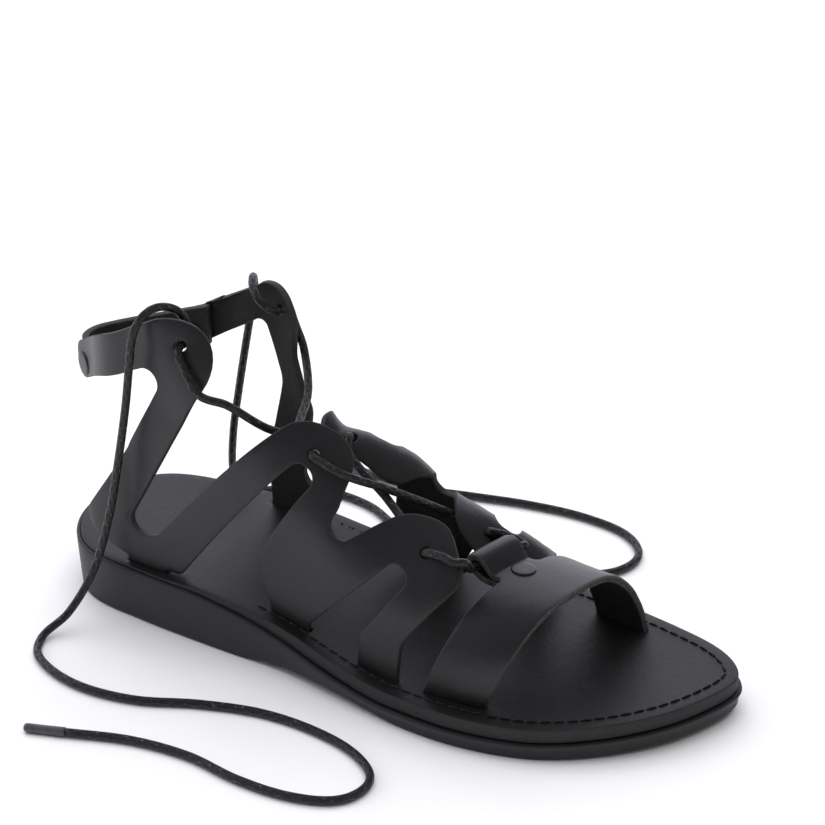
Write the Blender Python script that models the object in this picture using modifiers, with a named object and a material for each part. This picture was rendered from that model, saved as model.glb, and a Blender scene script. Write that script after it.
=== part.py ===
"""Lace-up leather sandal, right foot.

Metres, +Z up, +X from heel to toe, +Y to the big-toe (medial) side, -Y to the outer (lateral) side.
The origin is on the floor under the middle of the heel.
"""

import math

import bmesh
import bpy
import numpy as np
from mathutils import Vector

MM = 0.001
LATERAL = -1
MEDIAL = 1

# Driving sizes of the last and the sole
LENGTH = 258 * MM
BALL_WIDTH = 97 * MM
HEEL_REST = 36 * MM  # from the back of the heel to the origin
HEEL_RIM = 21.4 * MM  # floor to the outsole's rim at the heel
BALL_RIM = 6.7 * MM  # floor to the outsole's rim at the ball
TOE_SPRING = 2.3 * MM
ARCH_LIFT = 2.6 * MM
INSOLE_THICKNESS = 5.4 * MM
INSOLE_SHOWS_HEEL = 0.7 * MM  # insole above the rim
INSOLE_SHOWS_BALL = 5.6 * MM
RIM_WIDTH = 1.2 * MM
EDGE_ROUND = 0.8 * MM
TREAD_ROUND = 1.3 * MM
WALL_TAPER = 1.1 * MM  # the outsole is this much narrower at the floor
CLEARANCE = 0.3 * MM  # between pieces that touch

# Driving sizes of the upper
LEATHER = 2.6 * MM
UPPER_RISE = 103 * MM  # from insole to the top of the ankle tab, along the leather
STRAP_WIDTH = 17 * MM
SLIT_INSET_HEEL = 7.5 * MM  # from the outsole's edge to the slits
SLIT_INSET_BALL = 12.5 * MM
SLIT_END_ROOM = 0.6 * MM
TOE_STRAP_HEIGHT = 34 * MM  # inside of the toe strap's arch above the insole
TOE_STRAP_FALL = 0.33  # the arch gets lower towards the toe by this slope
ARCH_SQUARENESS = 2.25
TONGUE_WIDTH = 16.5 * MM  # tongue on the toe strap that folds under round the lace
TONGUE_LAP = 12 * MM  # the folded end reaches this far under the toe strap
LACE = 3.0 * MM
LACE_HOLE = 4.6 * MM
AGLET = 3.4 * MM
AGLET_LENGTH = 15 * MM

# Driving sizes of the rivets
RIVET_CAP = 9.0 * MM
RIVET_WASHER = 7.6 * MM
RIVET_SHANK = 3.0 * MM
CAP_THICKNESS = 0.9 * MM
WASHER_THICKNESS = 0.6 * MM
WASHER_RELIEF = 0.3 * MM  # a flat washer stands off the hollow side of a bent strap

HEEL_BACK = -HEEL_REST
HEEL_TURN_LENGTH = 38 * MM  # from the back of the heel to where the straps start to turn round it
HEEL_TURN = HEEL_BACK + HEEL_TURN_LENGTH
HEEL_SETBACK = 1.5 * MM  # heel strap in from the back of the sole

# Outline of the sole: shares of LENGTH, and of BALL_WIDTH on each side
SOLE_OUTLINE = (
    # station, lateral, medial
    (0.018, 0.200, 0.190),
    (0.070, 0.335, 0.310),
    (0.170, 0.380, 0.360),
    (0.280, 0.400, 0.360),
    (0.400, 0.415, 0.365),
    (0.500, 0.460, 0.420),
    (0.600, 0.500, 0.480),
    (0.700, 0.505, 0.495),
    (0.800, 0.445, 0.455),
    (0.880, 0.320, 0.405),
    (0.945, 0.150, 0.345),
    (0.985, -0.030, 0.265),
)
TOE_TIP = (1.0, -0.175)
HEEL_TIP = (0.0, 0.0)

# Clearance arch under the waist: share of LENGTH, share of ARCH_LIFT
ARCH = ((0.0, 0.0), (0.34, 0.0), (0.39, 0.75), (0.46, 1.0), (0.54, 0.7), (0.61, 0.0), (1.0, 0.0))

# How each side piece leaves the insole and bends in over the foot
BENDS = {
    # station, lean in degrees, straight rise and radius as shares of UPPER_RISE, droop in degrees
    LATERAL: (
        (0.15, 2, 1.07, 0.60, 90),
        (0.28, 1, 0.60, 0.58, 90),
        (0.42, 2, 0.35, 0.49, 90),
        (0.57, 4, 0.19, 0.47, 90),
        (0.73, 6, 0.14, 0.43, 90),
    ),
    MEDIAL: (
        (0.15, 2, 1.07, 0.50, 90),
        (0.28, 3, 0.90, 0.50, 90),
        (0.33, 8, 0.72, 0.25, 110),
        (0.40, 17, 0.55, 0.07, 140),
        (0.44, 15, 0.54, 0.07, 140),
        (0.49, 13, 0.47, 0.08, 125),
        (0.55, 17, 0.38, 0.08, 125),
        (0.61, 22, 0.35, 0.08, 130),
        (0.70, 22, 0.21, 0.08, 125),
    ),
}

IN_SLIT = -(INSOLE_THICKNESS - CLEARANCE) / UPPER_RISE
JUST_ABOVE = 0.008

# Distances between the lines at which the pieces bend
SIDE_GRID = 7 * MM
HEEL_GRID = (4.5 * MM, 8 * MM)
TOE_GRID = 5.5 * MM
SLIT_GRID = 4 * MM
CUTTER_EXTRA = 2 * MM  # a slit cutter goes this much deeper than the insole
CUTTER_ABOVE = 3 * MM  # and stands this much above it
HOLE_SIDES = 14
RIVET_SIDES = 16
LACE_STEP = 2.5  # length of a lace's straight stretches in LACE, for the crossings
TOE_BAR_STEP = 2.0
FREE_STEP = 3.1

# Round the heel the straps make a slack loop with its corner to the lateral side
HEEL_LOOP = {
    # share of that side's way to the corner, heading in towards the other side in degrees
    LATERAL: ((0.0, 0), (0.27, 42), (0.50, 42), (0.68, 32), (0.87, 32), (1.0, 80)),
    MEDIAL: ((0.0, 0), (0.86, 52), (1.0, 100)),
}
HEEL_LOOP_LENGTH = {LATERAL: 43.5 * MM, MEDIAL: 46 * MM}
HEEL_CORNER = -2 * MM  # the loop's corner, across from the middle line
HEEL_LOOP_RISE = (0.40, 0.56)  # below the first the leather follows the round heel, above the second the loop

# Cut outlines of the side pieces, from corner to corner round the leather
PATTERN = {
    # station, rise as a share of UPPER_RISE, corner radius as a share of STRAP_WIDTH
    LATERAL: (
        (0.140, IN_SLIT, 0.0),
        (0.140, 0.020, 0.05),
        (0.070, 0.110, 0.5),
        (0.230, 0.862, 0.3),
        (0.004, 0.560, 0.3),
        (0.004, 0.715, 0.3),
        (0.232, 1.035, 0.9),
        (0.290, 0.850, 1.0),
        (0.137, 0.136, 0.3),
        (0.186, 0.122, 0.5),
        (0.397, 0.748, 0.8),
        (0.480, 0.720, 0.7),
        (0.474, 0.495, 0.6),
        (0.430, 0.252, 0.26),
        (0.564, 0.592, 0.9),
        (0.622, 0.583, 0.7),
        (0.670, 0.413, 0.5),
        (0.595, 0.150, 0.8),
        (0.589, IN_SLIT, 0.0),
        (0.529, IN_SLIT, 0.0),
        (0.528, 0.107, 0.7),
        (0.596, 0.377, 0.24),
        (0.567, 0.420, 0.24),
        (0.486, 0.170, 1.0),
        (0.442, 0.026, 0.05),
        (0.440, IN_SLIT, 0.0),
        (0.379, IN_SLIT, 0.0),
        (0.379, 0.015, 0.05),
        (0.357, 0.200, 0.8),
        (0.439, 0.570, 0.25),
        (0.407, 0.602, 0.25),
        (0.231, JUST_ABOVE, 0.1),
        (0.206, JUST_ABOVE, 0.0),
        (0.206, IN_SLIT, 0.0),
    ),
    MEDIAL: (
        (0.240, IN_SLIT, 0.0),
        (0.240, 0.020, 0.05),
        (0.236, 0.200, 0.5),
        (0.272, 0.560, 0.8),
        (0.240, 0.785, 0.2),
        (0.093, 0.538, 0.2),
        (0.093, 0.697, 0.2),
        (0.268, 0.960, 0.6),
        (0.302, 0.830, 0.5),
        (0.294, 0.670, 0.5),
        (0.323, 0.485, 0.6),
        (0.297, 0.146, 0.3),
        (0.333, 0.126, 0.4),
        (0.392, 0.735, 0.5),
        (0.496, 0.690, 0.7),
        (0.525, 0.495, 0.6),
        (0.508, 0.252, 0.26),
        (0.594, 0.560, 0.7),
        (0.655, 0.535, 0.6),
        (0.722, 0.350, 0.5),
        (0.684, 0.150, 0.8),
        (0.694, IN_SLIT, 0.0),
        (0.634, IN_SLIT, 0.0),
        (0.634, 0.015, 0.05),
        (0.620, 0.107, 0.7),
        (0.659, 0.377, 0.24),
        (0.624, 0.420, 0.24),
        (0.572, 0.170, 1.0),
        (0.544, 0.026, 0.05),
        (0.545, IN_SLIT, 0.0),
        (0.483, IN_SLIT, 0.0),
        (0.483, 0.015, 0.05),
        (0.455, 0.200, 0.8),
        (0.480, 0.570, 0.25),
        (0.444, 0.602, 0.25),
        (0.335, JUST_ABOVE, 0.1),
        (0.306, JUST_ABOVE, 0.0),
        (0.306, IN_SLIT, 0.0),
    ),
}

# The straps' slits in the insole: side, first and last station
SLITS = (
    (LATERAL, 0.140, 0.206),
    (LATERAL, 0.379, 0.440),
    (LATERAL, 0.529, 0.589),
    (MEDIAL, 0.240, 0.306),
    (MEDIAL, 0.483, 0.545),
    (MEDIAL, 0.634, 0.694),
)

# Lace holes from the ankle to the toe, and the heel rivets: station and rise, as in the patterns
LACE_HOLES = {
    LATERAL: ((0.234, 0.900), (0.425, 0.636), (0.605, 0.471)),
    MEDIAL: ((0.275, 0.845), (0.430, 0.655), (0.633, 0.455)),
}
STRAP_LIFT = {LATERAL: (0.08, 0.15), MEDIAL: (0.165, 0.225)}  # off the heel strap up to the first station
HEEL_RIVETS = {LATERAL: (0.026, 0.650), MEDIAL: (0.118, 0.655)}

# Heel strap, from its lateral end round the heel to its medial end
HEEL_STRAP_ENDS = {LATERAL: 0.056, MEDIAL: 0.147}
HEEL_STRAP = (
    # share of the way round, lower and upper edge as shares of UPPER_RISE
    (0.0, 0.610, 0.730),
    (0.4, 0.580, 0.700),
    (0.7, 0.565, 0.715),
    (1.0, 0.615, 0.770),
)

# Toe strap
TOE_STRAP = (
    # share of the way over the foot from the lateral side, station of the rear and of the front edge
    (0.00, 0.633, 0.722),
    (0.25, 0.672, 0.764),
    (0.50, 0.705, 0.795),
    (0.75, 0.727, 0.812),
    (1.00, 0.754, 0.835),
)
TOE_RIVET_BACK = 0.05  # share of the toe strap's width from its rear edge
TONGUE_AT = 0.49  # share of the way over the foot, where the toe rivet is too

# Side view of the tongue's inner face, back from the toe strap's edge and round the lace
TONGUE_FOLD = (
    # length in LACE, heading at its end in degrees above the toe strap's surface, count of flat pieces
    (1.00, 0, 1),
    (1.00, 50, 4),
    (1.80, 50, 1),
    (2.30, -140, 7),
    (0.985, -140, 1),
    (0.90, -180, 2),
)
FOLD_TURN = 3  # the row that goes round the lace

# Where the lace runs over or under the side straps
OVER = 1
UNDER = -1
LACE_OFF = 0.6 * MM  # between the lace and the leather beside it
NEAR_ANKLE_EDGE = (LATERAL, 0.275, 0.750, 1.4 * OVER)
FAR_ANKLE_EDGE = (MEDIAL, 0.305, 0.690, 1.4 * OVER)
NEAR_MIDDLE_EDGE = (LATERAL, 0.477, 0.610, 1.4 * OVER)
NEAR_MIDDLE_INSIDE = (LATERAL, 0.425, 0.636, UNDER)
FAR_MIDDLE_INSIDE = (MEDIAL, 0.430, 0.655, UNDER)
FAR_TOE_INSIDE = (MEDIAL, 0.600, 0.470, 1.5 * UNDER)
LACE_RUNS = {
    # side, station, rise as a share of UPPER_RISE, over or under by so many lace gaps;
    # or two such rows, the share of the way between them, and the drop there as a share of UPPER_RISE
    "low": (
        (LATERAL, 0.425, 0.636, OVER),
        NEAR_MIDDLE_EDGE,
        (NEAR_MIDDLE_EDGE, FAR_TOE_INSIDE, 0.32, 0.0),
        (MEDIAL, 0.565, 0.500, UNDER),
        FAR_TOE_INSIDE,
        (MEDIAL, 0.633, 0.455, 1.3 * UNDER),
    ),
    "low_other": (
        (MEDIAL, 0.430, 0.655, OVER),
        (MEDIAL, 0.445, 0.710, 1.4 * OVER),
        (NEAR_MIDDLE_EDGE, FAR_TOE_INSIDE, 0.32, 0.024),
        (LATERAL, 0.582, 0.510, UNDER),
        (LATERAL, 0.605, 0.471, UNDER),
    ),
    "high": (
        (LATERAL, 0.234, 0.900, OVER),
        (LATERAL, 0.252, 0.825, 1.2 * OVER),
        NEAR_ANKLE_EDGE,
        (NEAR_ANKLE_EDGE, FAR_MIDDLE_INSIDE, 0.18, 0.005),
        (NEAR_ANKLE_EDGE, FAR_MIDDLE_INSIDE, 0.43, 0.045),
        (NEAR_ANKLE_EDGE, FAR_MIDDLE_INSIDE, 0.65, 0.045),
        (MEDIAL, 0.418, 0.730, 1.7 * UNDER),
        FAR_MIDDLE_INSIDE,
    ),
    "high_other": (
        (MEDIAL, 0.275, 0.845, OVER),
        (MEDIAL, 0.290, 0.770, 1.2 * OVER),
        FAR_ANKLE_EDGE,
        (FAR_ANKLE_EDGE, NEAR_MIDDLE_INSIDE, 0.30, 0.045),
        (NEAR_ANKLE_EDGE, FAR_MIDDLE_INSIDE, 0.65, 0.021),
        NEAR_MIDDLE_INSIDE,
    ),
}

# The toe bar leaves the lateral toe hole, drops past the tab's edge and lies in the tongue's fold
TOE_RUN = (
    (LATERAL, 0.605, 0.471, OVER),
    (LATERAL, 0.632, 0.470, 1.3 * OVER),
    (LATERAL, 0.652, 0.460, 1.6 * OVER),
    (LATERAL, 0.664, 0.468, 0.7 * OVER),
)
TOE_BAR_DROP = ((0.35, 0.0), (0.75, 0.008))  # share of the way to the fold, drop as a share of UPPER_RISE
TOE_BAR_IN_FOLD = (-0.6, -0.3, 0.1, 0.5)  # shares of TONGUE_WIDTH from the tongue's middle

# The lace's free ends, from inside the ankle holes over the straps and down to the floor, chosen by hand
LACE_ENDS = {
    LATERAL: (
        (0.0244, -0.0261, 0.1152),
        (0.0240, -0.0230, 0.1149),
        (0.0226, -0.0193, 0.1176),
        (0.0208, -0.0182, 0.1208),
        (0.0180, -0.0202, 0.1250),
        (0.0145, -0.0260, 0.1273),
        (0.0115, -0.0315, 0.1248),
        (0.0095, -0.0342, 0.1185),
        (0.0080, -0.0348, 0.1080),
        (0.0055, -0.0352, 0.0900),
        (0.0020, -0.0365, 0.0680),
        (-0.0020, -0.0390, 0.0440),
        (-0.0070, -0.0440, 0.0220),
        (-0.0130, -0.0525, 0.0070),
        (-0.0170, -0.0640, 0.0018),
        (-0.0100, -0.0750, 0.0018),
        (0.0100, -0.0820, 0.0018),
        (0.0330, -0.0800, 0.0018),
        (0.0550, -0.0710, 0.0018),
        (0.0770, -0.0650, 0.0018),
        (0.0990, -0.0650, 0.0018),
        (0.1180, -0.0700, 0.0018),
        (0.1290, -0.0800, 0.0018),
        (0.1260, -0.0930, 0.0018),
        (0.1110, -0.1000, 0.0018),
        (0.0900, -0.1010, 0.0018),
        (0.0680, -0.0980, 0.0018),
        (0.0460, -0.1000, 0.0018),
        (0.0240, -0.1070, 0.0018),
    ),
    MEDIAL: (
        (0.0349, 0.0200, 0.1097),
        (0.0335, 0.0168, 0.1120),
        (0.0295, 0.0162, 0.1150),
        (0.0255, 0.0190, 0.1177),
        (0.0220, 0.0245, 0.1183),
        (0.0190, 0.0300, 0.1150),
        (0.0170, 0.0332, 0.1090),
        (0.0145, 0.0347, 0.0990),
        (0.0105, 0.0360, 0.0820),
        (0.0060, 0.0375, 0.0620),
        (0.0010, 0.0400, 0.0400),
        (-0.0030, 0.0450, 0.0180),
        (-0.0040, 0.0530, 0.0055),
        (0.0030, 0.0640, 0.0018),
        (0.0200, 0.0730, 0.0018),
        (0.0420, 0.0720, 0.0018),
        (0.0620, 0.0620, 0.0018),
        (0.0820, 0.0560, 0.0018),
        (0.1040, 0.0590, 0.0018),
        (0.1260, 0.0640, 0.0018),
        (0.1450, 0.0740, 0.0018),
        (0.1500, 0.0890, 0.0018),
        (0.1400, 0.1010, 0.0018),
        (0.1200, 0.1050, 0.0018),
        (0.0970, 0.1030, 0.0018),
        (0.0750, 0.0980, 0.0018),
        (0.0540, 0.0930, 0.0018),
        (0.0330, 0.0930, 0.0018),
    ),
}


def collection(name):
    made = bpy.data.collections.new(name)
    bpy.context.scene.collection.children.link(made)
    return made


def material(name, colour, roughness, metallic=0.0):
    made = bpy.data.materials.new(name)
    made.use_nodes = True
    shader = made.node_tree.nodes["Principled BSDF"]
    shader.inputs["Base Color"].default_value = (*colour, 1.0)
    shader.inputs["Roughness"].default_value = roughness
    shader.inputs["Metallic"].default_value = metallic
    return made


def add_object(name, bm, where, finish=None):
    mesh = bpy.data.meshes.new(name)
    bm.to_mesh(mesh)
    bm.free()
    obj = bpy.data.objects.new(name, mesh)
    where.objects.link(obj)
    if finish:
        mesh.materials.append(finish)
    mesh.shade_smooth()
    mesh.set_sharp_from_angle(angle=math.radians(40))
    if where.name == "cutters":
        obj.hide_render = True
        obj.display_type = "WIRE"
    return obj


def cut(obj, cutter):
    boolean = obj.modifiers.new("cut " + cutter.name, "BOOLEAN")
    boolean.operation = "DIFFERENCE"
    boolean.object = cutter


def ease(value, start, end):
    share = np.clip((value - start) / (end - start), 0.0, 1.0)
    return share * share * (3.0 - 2.0 * share)


def read_table(rows, value):
    """Every column of a table of rows (value, ...), read on a smooth curve through its rows."""
    table = np.array(rows, float)
    value = float(np.clip(value, table[0, 0], table[-1, 0]))
    i = int(np.clip(np.searchsorted(table[:, 0], value) - 1, 0, len(table) - 2))
    slopes = np.gradient(table[:, 1:], table[:, 0], axis=0)
    span = table[i + 1, 0] - table[i, 0]
    t = (value - table[i, 0]) / span
    rise = t * t * (3.0 - 2.0 * t)
    leave = t * (1.0 - t) ** 2 * span
    arrive = -t * t * (1.0 - t) * span
    return table[i, 1:] * (1 - rise) + table[i + 1, 1:] * rise + slopes[i] * leave + slopes[i + 1] * arrive


def smooth_loop(corners, count):
    """A closed smooth curve through the corners, as count points at even spacing."""
    corners = np.array(corners, float)
    steps = 24
    fine = []
    for i in range(len(corners)):
        a, b, c, d = (corners[(i + k) % len(corners)] for k in (-1, 0, 1, 2))
        reach = np.linalg.norm(c - b)
        leave = (c - a) / np.linalg.norm(c - a) * reach
        arrive = (d - b) / np.linalg.norm(d - b) * reach
        for step in range(steps):
            t = step / steps
            rise = t * t * (3.0 - 2.0 * t)
            fine.append(b * (1 - rise) + c * rise + leave * t * (1 - t) ** 2 - arrive * t * t * (1 - t))
    fine = np.array(fine + fine[:1])
    along = np.concatenate([[0.0], np.cumsum(np.linalg.norm(np.diff(fine, axis=0), axis=1))])
    even = np.linspace(0.0, along[-1], round(count), endpoint=False)
    return np.column_stack([np.interp(even, along, fine[:, k]) for k in range(2)])


# The sole's outline and heights

def outline_corners():
    lateral = [(share, -half) for share, half, _ in SOLE_OUTLINE]
    medial = [(share, half) for share, _, half in reversed(SOLE_OUTLINE)]
    tip = (TOE_TIP[0], -TOE_TIP[1])
    corners = [HEEL_TIP] + lateral + [tip] + medial
    return [(HEEL_BACK + share * LENGTH, half * BALL_WIDTH) for share, half in corners]


OUTLINE_POINTS = 84
OUTLINE = smooth_loop(outline_corners(), OUTLINE_POINTS)
FINE_OUTLINE = smooth_loop(outline_corners(), 12 * OUTLINE_POINTS)


def inward_normals(loop):
    along = np.roll(loop, -1, axis=0) - np.roll(loop, 1, axis=0)
    across = np.column_stack([-along[:, 1], along[:, 0]])
    return across / np.linalg.norm(across, axis=1)[:, None]


def half_width(side, x):
    """Distance from the centre line to the sole's edge on one side."""
    toe = int(np.argmax(FINE_OUTLINE[:, 0]))
    loop = FINE_OUTLINE[: toe + 1] if side == LATERAL else FINE_OUTLINE[toe:]
    order = np.argsort(loop[:, 0])
    return side * float(np.interp(x, loop[order, 0], loop[order, 1]))


def station(x):
    return (x - HEEL_BACK) / LENGTH


def at_station(share):
    return HEEL_BACK + share * LENGTH


def rim_height(x):
    drop = HEEL_RIM + (BALL_RIM - HEEL_RIM) * ease(station(x), 0.243, 0.594)
    return drop + TOE_SPRING * ease(station(x), 0.765, 1.017)


def insole_height(x):
    shows = INSOLE_SHOWS_HEEL + (INSOLE_SHOWS_BALL - INSOLE_SHOWS_HEEL) * ease(station(x), 0.165, 0.516)
    return rim_height(x) + shows


def insole_under(x):
    return insole_height(x) - INSOLE_THICKNESS


def floor_height(x):
    spring = TOE_SPRING * ease(station(x), 0.785, 1.017)
    arch = ARCH_LIFT * float(read_table(ARCH, station(x))[0])
    return spring + max(arch, 0.0)


def spine_point(x):
    """The middle line of the sole, which the inner rings of its faces are drawn to."""
    ends = 0.13 * LENGTH
    at = float(np.clip(x, HEEL_BACK + ends, HEEL_BACK + LENGTH - ends))
    return np.array([at, (half_width(MEDIAL, at) - half_width(LATERAL, at)) / 2])


def ring(inset, height, share=1.0):
    """One ring of the sole: the outline moved in by inset, then drawn to the spine by share."""
    points = OUTLINE + inward_normals(OUTLINE) * inset
    spine = np.array([spine_point(x) for x, _ in OUTLINE])
    flat = spine + (points - spine) * share
    return [(x, y, height(x)) for x, y in flat]


def close_ring(bm, row):
    """Closes a ring with a strip of faces from its lateral to its medial points."""
    count = len(row)
    for i in range(count // 2):
        corners = (row[i], row[i + 1], row[count - i - 1], row[-i])
        bm.faces.new(tuple(dict.fromkeys(corners)))


def loft(name, rings, where, finish):
    bm = bmesh.new()
    rows = [[bm.verts.new(point) for point in points] for points in rings]
    for low, high in zip(rows, rows[1:]):
        for i in range(len(low)):
            j = (i + 1) % len(low)
            bm.faces.new((low[i], low[j], high[j], high[i]))
    close_ring(bm, rows[0])
    close_ring(bm, rows[-1])
    bmesh.ops.recalc_face_normals(bm, faces=bm.faces)
    return add_object(name, bm, where, finish)


def make_outsole(where, finish):
    def wall(x, share):
        return floor_height(x) + TREAD_ROUND + share * (rim_height(x) - floor_height(x) - TREAD_ROUND - EDGE_ROUND)

    def well(x):
        return min(insole_under(x) - CLEARANCE, rim_height(x) - 0.1 * MM)

    rings = [
        ring(WALL_TAPER + TREAD_ROUND, floor_height, 0.5),
        ring(WALL_TAPER + TREAD_ROUND, floor_height),
        ring(WALL_TAPER + TREAD_ROUND * 0.3, lambda x: floor_height(x) + TREAD_ROUND * 0.3),
        ring(WALL_TAPER, lambda x: wall(x, 0.0)),
        ring(WALL_TAPER * 0.35, lambda x: wall(x, 0.5)),
        ring(0.0, lambda x: wall(x, 1.0)),
        ring(EDGE_ROUND * 0.3, lambda x: rim_height(x) - EDGE_ROUND * 0.3),
        ring(EDGE_ROUND * 0.9, rim_height),
        ring(RIM_WIDTH, rim_height),
        ring(RIM_WIDTH, well),
        ring(RIM_WIDTH, well, 0.5),
    ]
    return loft("outsole", rings, where, finish)


def make_insole(where, finish):
    edge = RIM_WIDTH + CLEARANCE
    top = insole_height
    rings = [
        ring(edge, insole_under, 0.5),
        ring(edge, insole_under),
        ring(edge, lambda x: top(x) - EDGE_ROUND),
        ring(edge + EDGE_ROUND * 0.3, lambda x: top(x) - EDGE_ROUND * 0.3),
        ring(edge + EDGE_ROUND, top),
        ring(edge + SLIT_INSET_BALL, top),
        ring(edge + EDGE_ROUND, top, 0.4),
    ]
    return loft("insole", rings, where, finish)


# The last: where the leather's inner face lies

def slit_inset(x):
    return SLIT_INSET_HEEL + (SLIT_INSET_BALL - SLIT_INSET_HEEL) * float(np.clip((station(x) - 0.16) / 0.54, 0, 1))


def bend_in(side, x, rise, out):
    """How far in and how high the leather is at a rise, out metres off the last."""
    lean, straight, radius, droop = read_table(BENDS[side], station(x))
    lean = math.radians(lean)
    droop = math.radians(droop)
    straight *= UPPER_RISE
    radius *= UPPER_RISE
    turn = lean
    inward = rise * math.sin(lean)
    up = rise * math.cos(lean)
    if rise > straight:
        turn = min(lean + (rise - straight) / radius, droop)
        past = rise - straight - (turn - lean) * radius
        inward = straight * math.sin(lean) + radius * (math.cos(lean) - math.cos(turn)) + past * math.sin(turn)
        up = straight * math.cos(lean) + radius * (math.sin(turn) - math.sin(lean)) + past * math.cos(turn)
    return inward - out * math.cos(turn), up + out * math.sin(turn)


def heel_loop(side):
    """Points of one side of the heel's loop, as shares of the way back and of the way in."""
    shares = np.linspace(0.0, 1.0, 61)
    headings = np.radians(np.interp((shares[1:] + shares[:-1]) / 2, *np.array(HEEL_LOOP[side], float).T))
    back = np.concatenate([[0.0], np.cumsum(np.cos(headings))])
    across = np.concatenate([[0.0], np.cumsum(np.sin(headings))])
    return shares, back / back[-1], across / across[-1]


HEEL_LOOPS = {side: heel_loop(side) for side in (LATERAL, MEDIAL)}


def round_heel(side, x, inward, base):
    """Plan place and outward direction on the round heel, past the heel turn."""
    deep = HEEL_TURN - HEEL_BACK - HEEL_SETBACK
    angle = (HEEL_TURN - x) / ((deep + base) / 2)
    place = Vector((HEEL_TURN - (deep - inward) * math.sin(angle), side * (base - inward) * math.cos(angle)))
    outward = Vector((-math.sin(angle) * (base - inward), side * math.cos(angle) * (deep - inward)))
    return place, outward.normalized()


def slack_heel(side, x, inward, base):
    """Plan place and outward direction on the slack loop, past the heel turn."""
    shares, back, across = HEEL_LOOPS[side]
    deep = HEEL_TURN - HEEL_BACK - HEEL_SETBACK - inward
    start = side * (base - inward)

    def at(share):
        x_there = HEEL_TURN - deep * float(np.interp(share, shares, back))
        return Vector((x_there, start + (HEEL_CORNER - start) * float(np.interp(share, shares, across))))

    share = (HEEL_TURN - x) / HEEL_LOOP_LENGTH[side]
    step = 0.02
    share = float(np.clip(share, 0.0, 1.0))
    ahead = at(min(share + step, 1.0)) - at(max(share - step, 0.0))
    return at(share), Vector((side * ahead.y, -side * ahead.x)).normalized()


def on_last(side, x, rise, out=0.0):
    """A point of a side piece: x along the foot, or past the heel turn round the heel, and rise up the leather."""
    foot = max(x, HEEL_TURN)
    base = half_width(side, foot) - slit_inset(foot)
    if x >= HEEL_TURN:
        inward, up = bend_in(side, foot, rise, out)
        return Vector((x, side * (base - inward), insole_height(foot) + up))
    inward, up = bend_in(side, foot, rise, 0.0)
    slack = float(ease(rise / UPPER_RISE, *HEEL_LOOP_RISE))
    place, outward = round_heel(side, x, inward, base)
    loop_place, loop_outward = slack_heel(side, x, inward, base)
    place = place.lerp(loop_place, slack) + outward.lerp(loop_outward, slack).normalized() * out
    return Vector((place.x, place.y, insole_height(foot) + up))


def rounded(corners):
    """A closed outline of corners (x, y, radius), each corner an arc."""
    points = []
    for i, (x, y, radius) in enumerate(corners):
        here = Vector((x, y))
        if radius <= 0:
            points.append(here)
            continue
        back = (Vector(corners[i - 1][:2]) - here).normalized()
        on = (Vector(corners[(i + 1) % len(corners)][:2]) - here).normalized()
        half = back.angle(on) / 2
        middle = here + (back + on).normalized() * (radius / math.sin(half))
        start = here + back * (radius / math.tan(half))
        end = here + on * (radius / math.tan(half))
        sweep = (start - middle).angle_signed(end - middle)
        steps = max(2, round(abs(sweep) / math.radians(18)))
        for step in range(steps + 1):
            turned = (start - middle).copy()
            turn = -sweep * step / steps
            turned = Vector((
                turned.x * math.cos(turn) - turned.y * math.sin(turn),
                turned.x * math.sin(turn) + turned.y * math.cos(turn),
            ))
            points.append(middle + turned)
    return points


def facing(outline, side):
    """The outline in the order that makes its face point away from the foot on that side."""
    area = sum(a[0] * b[1] - b[0] * a[1] for a, b in zip(outline, outline[1:] + outline[:1]))
    return outline if area * side < 0 else outline[::-1]


def grid_lines(outline, axis, step):
    low = min(p[axis] for p in outline)
    high = max(p[axis] for p in outline)
    return [low + i * step for i in range(1, math.ceil((high - low) / step))]


def leather(name, outline, place, lines, where, finish, thickness=LEATHER):
    """A flat cut outline laid on the last by place(x, y), as a wall of leather that bends at its lines."""
    bm = bmesh.new()
    bm.faces.new([bm.verts.new((p[0], p[1], 0.0)) for p in outline])
    for axis in range(2):
        normal = (1, 0, 0) if axis == 0 else (0, 1, 0)
        for at in lines[axis]:
            everything = bm.verts[:] + bm.edges[:] + bm.faces[:]
            bmesh.ops.bisect_plane(bm, geom=everything, dist=0.0002, plane_co=Vector(normal) * at, plane_no=normal)
    for vert in bm.verts:
        vert.co = place(vert.co.x, vert.co.y)
    obj = add_object(name, bm, where, finish)
    wall = obj.modifiers.new("leather", "SOLIDIFY")
    wall.thickness = thickness
    wall.offset = 1.0
    wall.use_even_offset = True
    return obj


def pattern_outline(side):
    corners = [(at_station(s), r * UPPER_RISE, c * STRAP_WIDTH) for s, r, c in PATTERN[side]]
    return facing(rounded(corners), side)


def strap_lift(side, x):
    """The rear end of each ankle strap lies over the heel strap."""
    over = LEATHER + CLEARANCE
    full, none = STRAP_LIFT[side]
    return over * (1 - ease(x, at_station(full), at_station(none)))


def make_side_strap(side, name, where, finish):
    def place(x, rise):
        return on_last(side, x, rise, strap_lift(side, x))

    outline = pattern_outline(side)
    lines = [grid_lines(outline, axis, SIDE_GRID) for axis in range(2)]
    return leather(name, outline, place, lines, where, finish)


def cut_slits(insole, cutters):
    for number, (side, first, last) in enumerate(SLITS):
        low = at_station(first) - SLIT_END_ROOM
        high = at_station(last) + SLIT_END_ROOM
        down = -INSOLE_THICKNESS - CUTTER_EXTRA
        outline = [(low, down), (high, down), (high, CUTTER_ABOVE), (low, CUTTER_ABOVE)]

        def place(x, rise, side=side):
            return on_last(side, x, rise, -CLEARANCE)

        lines = [grid_lines(outline, 0, SLIT_GRID), []]
        cutter = leather(
            f"slit_cutter_{number}", facing(outline, side), place, lines, cutters, None, LEATHER + 2 * CLEARANCE
        )
        cut(insole, cutter)


# Heel strap

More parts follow.
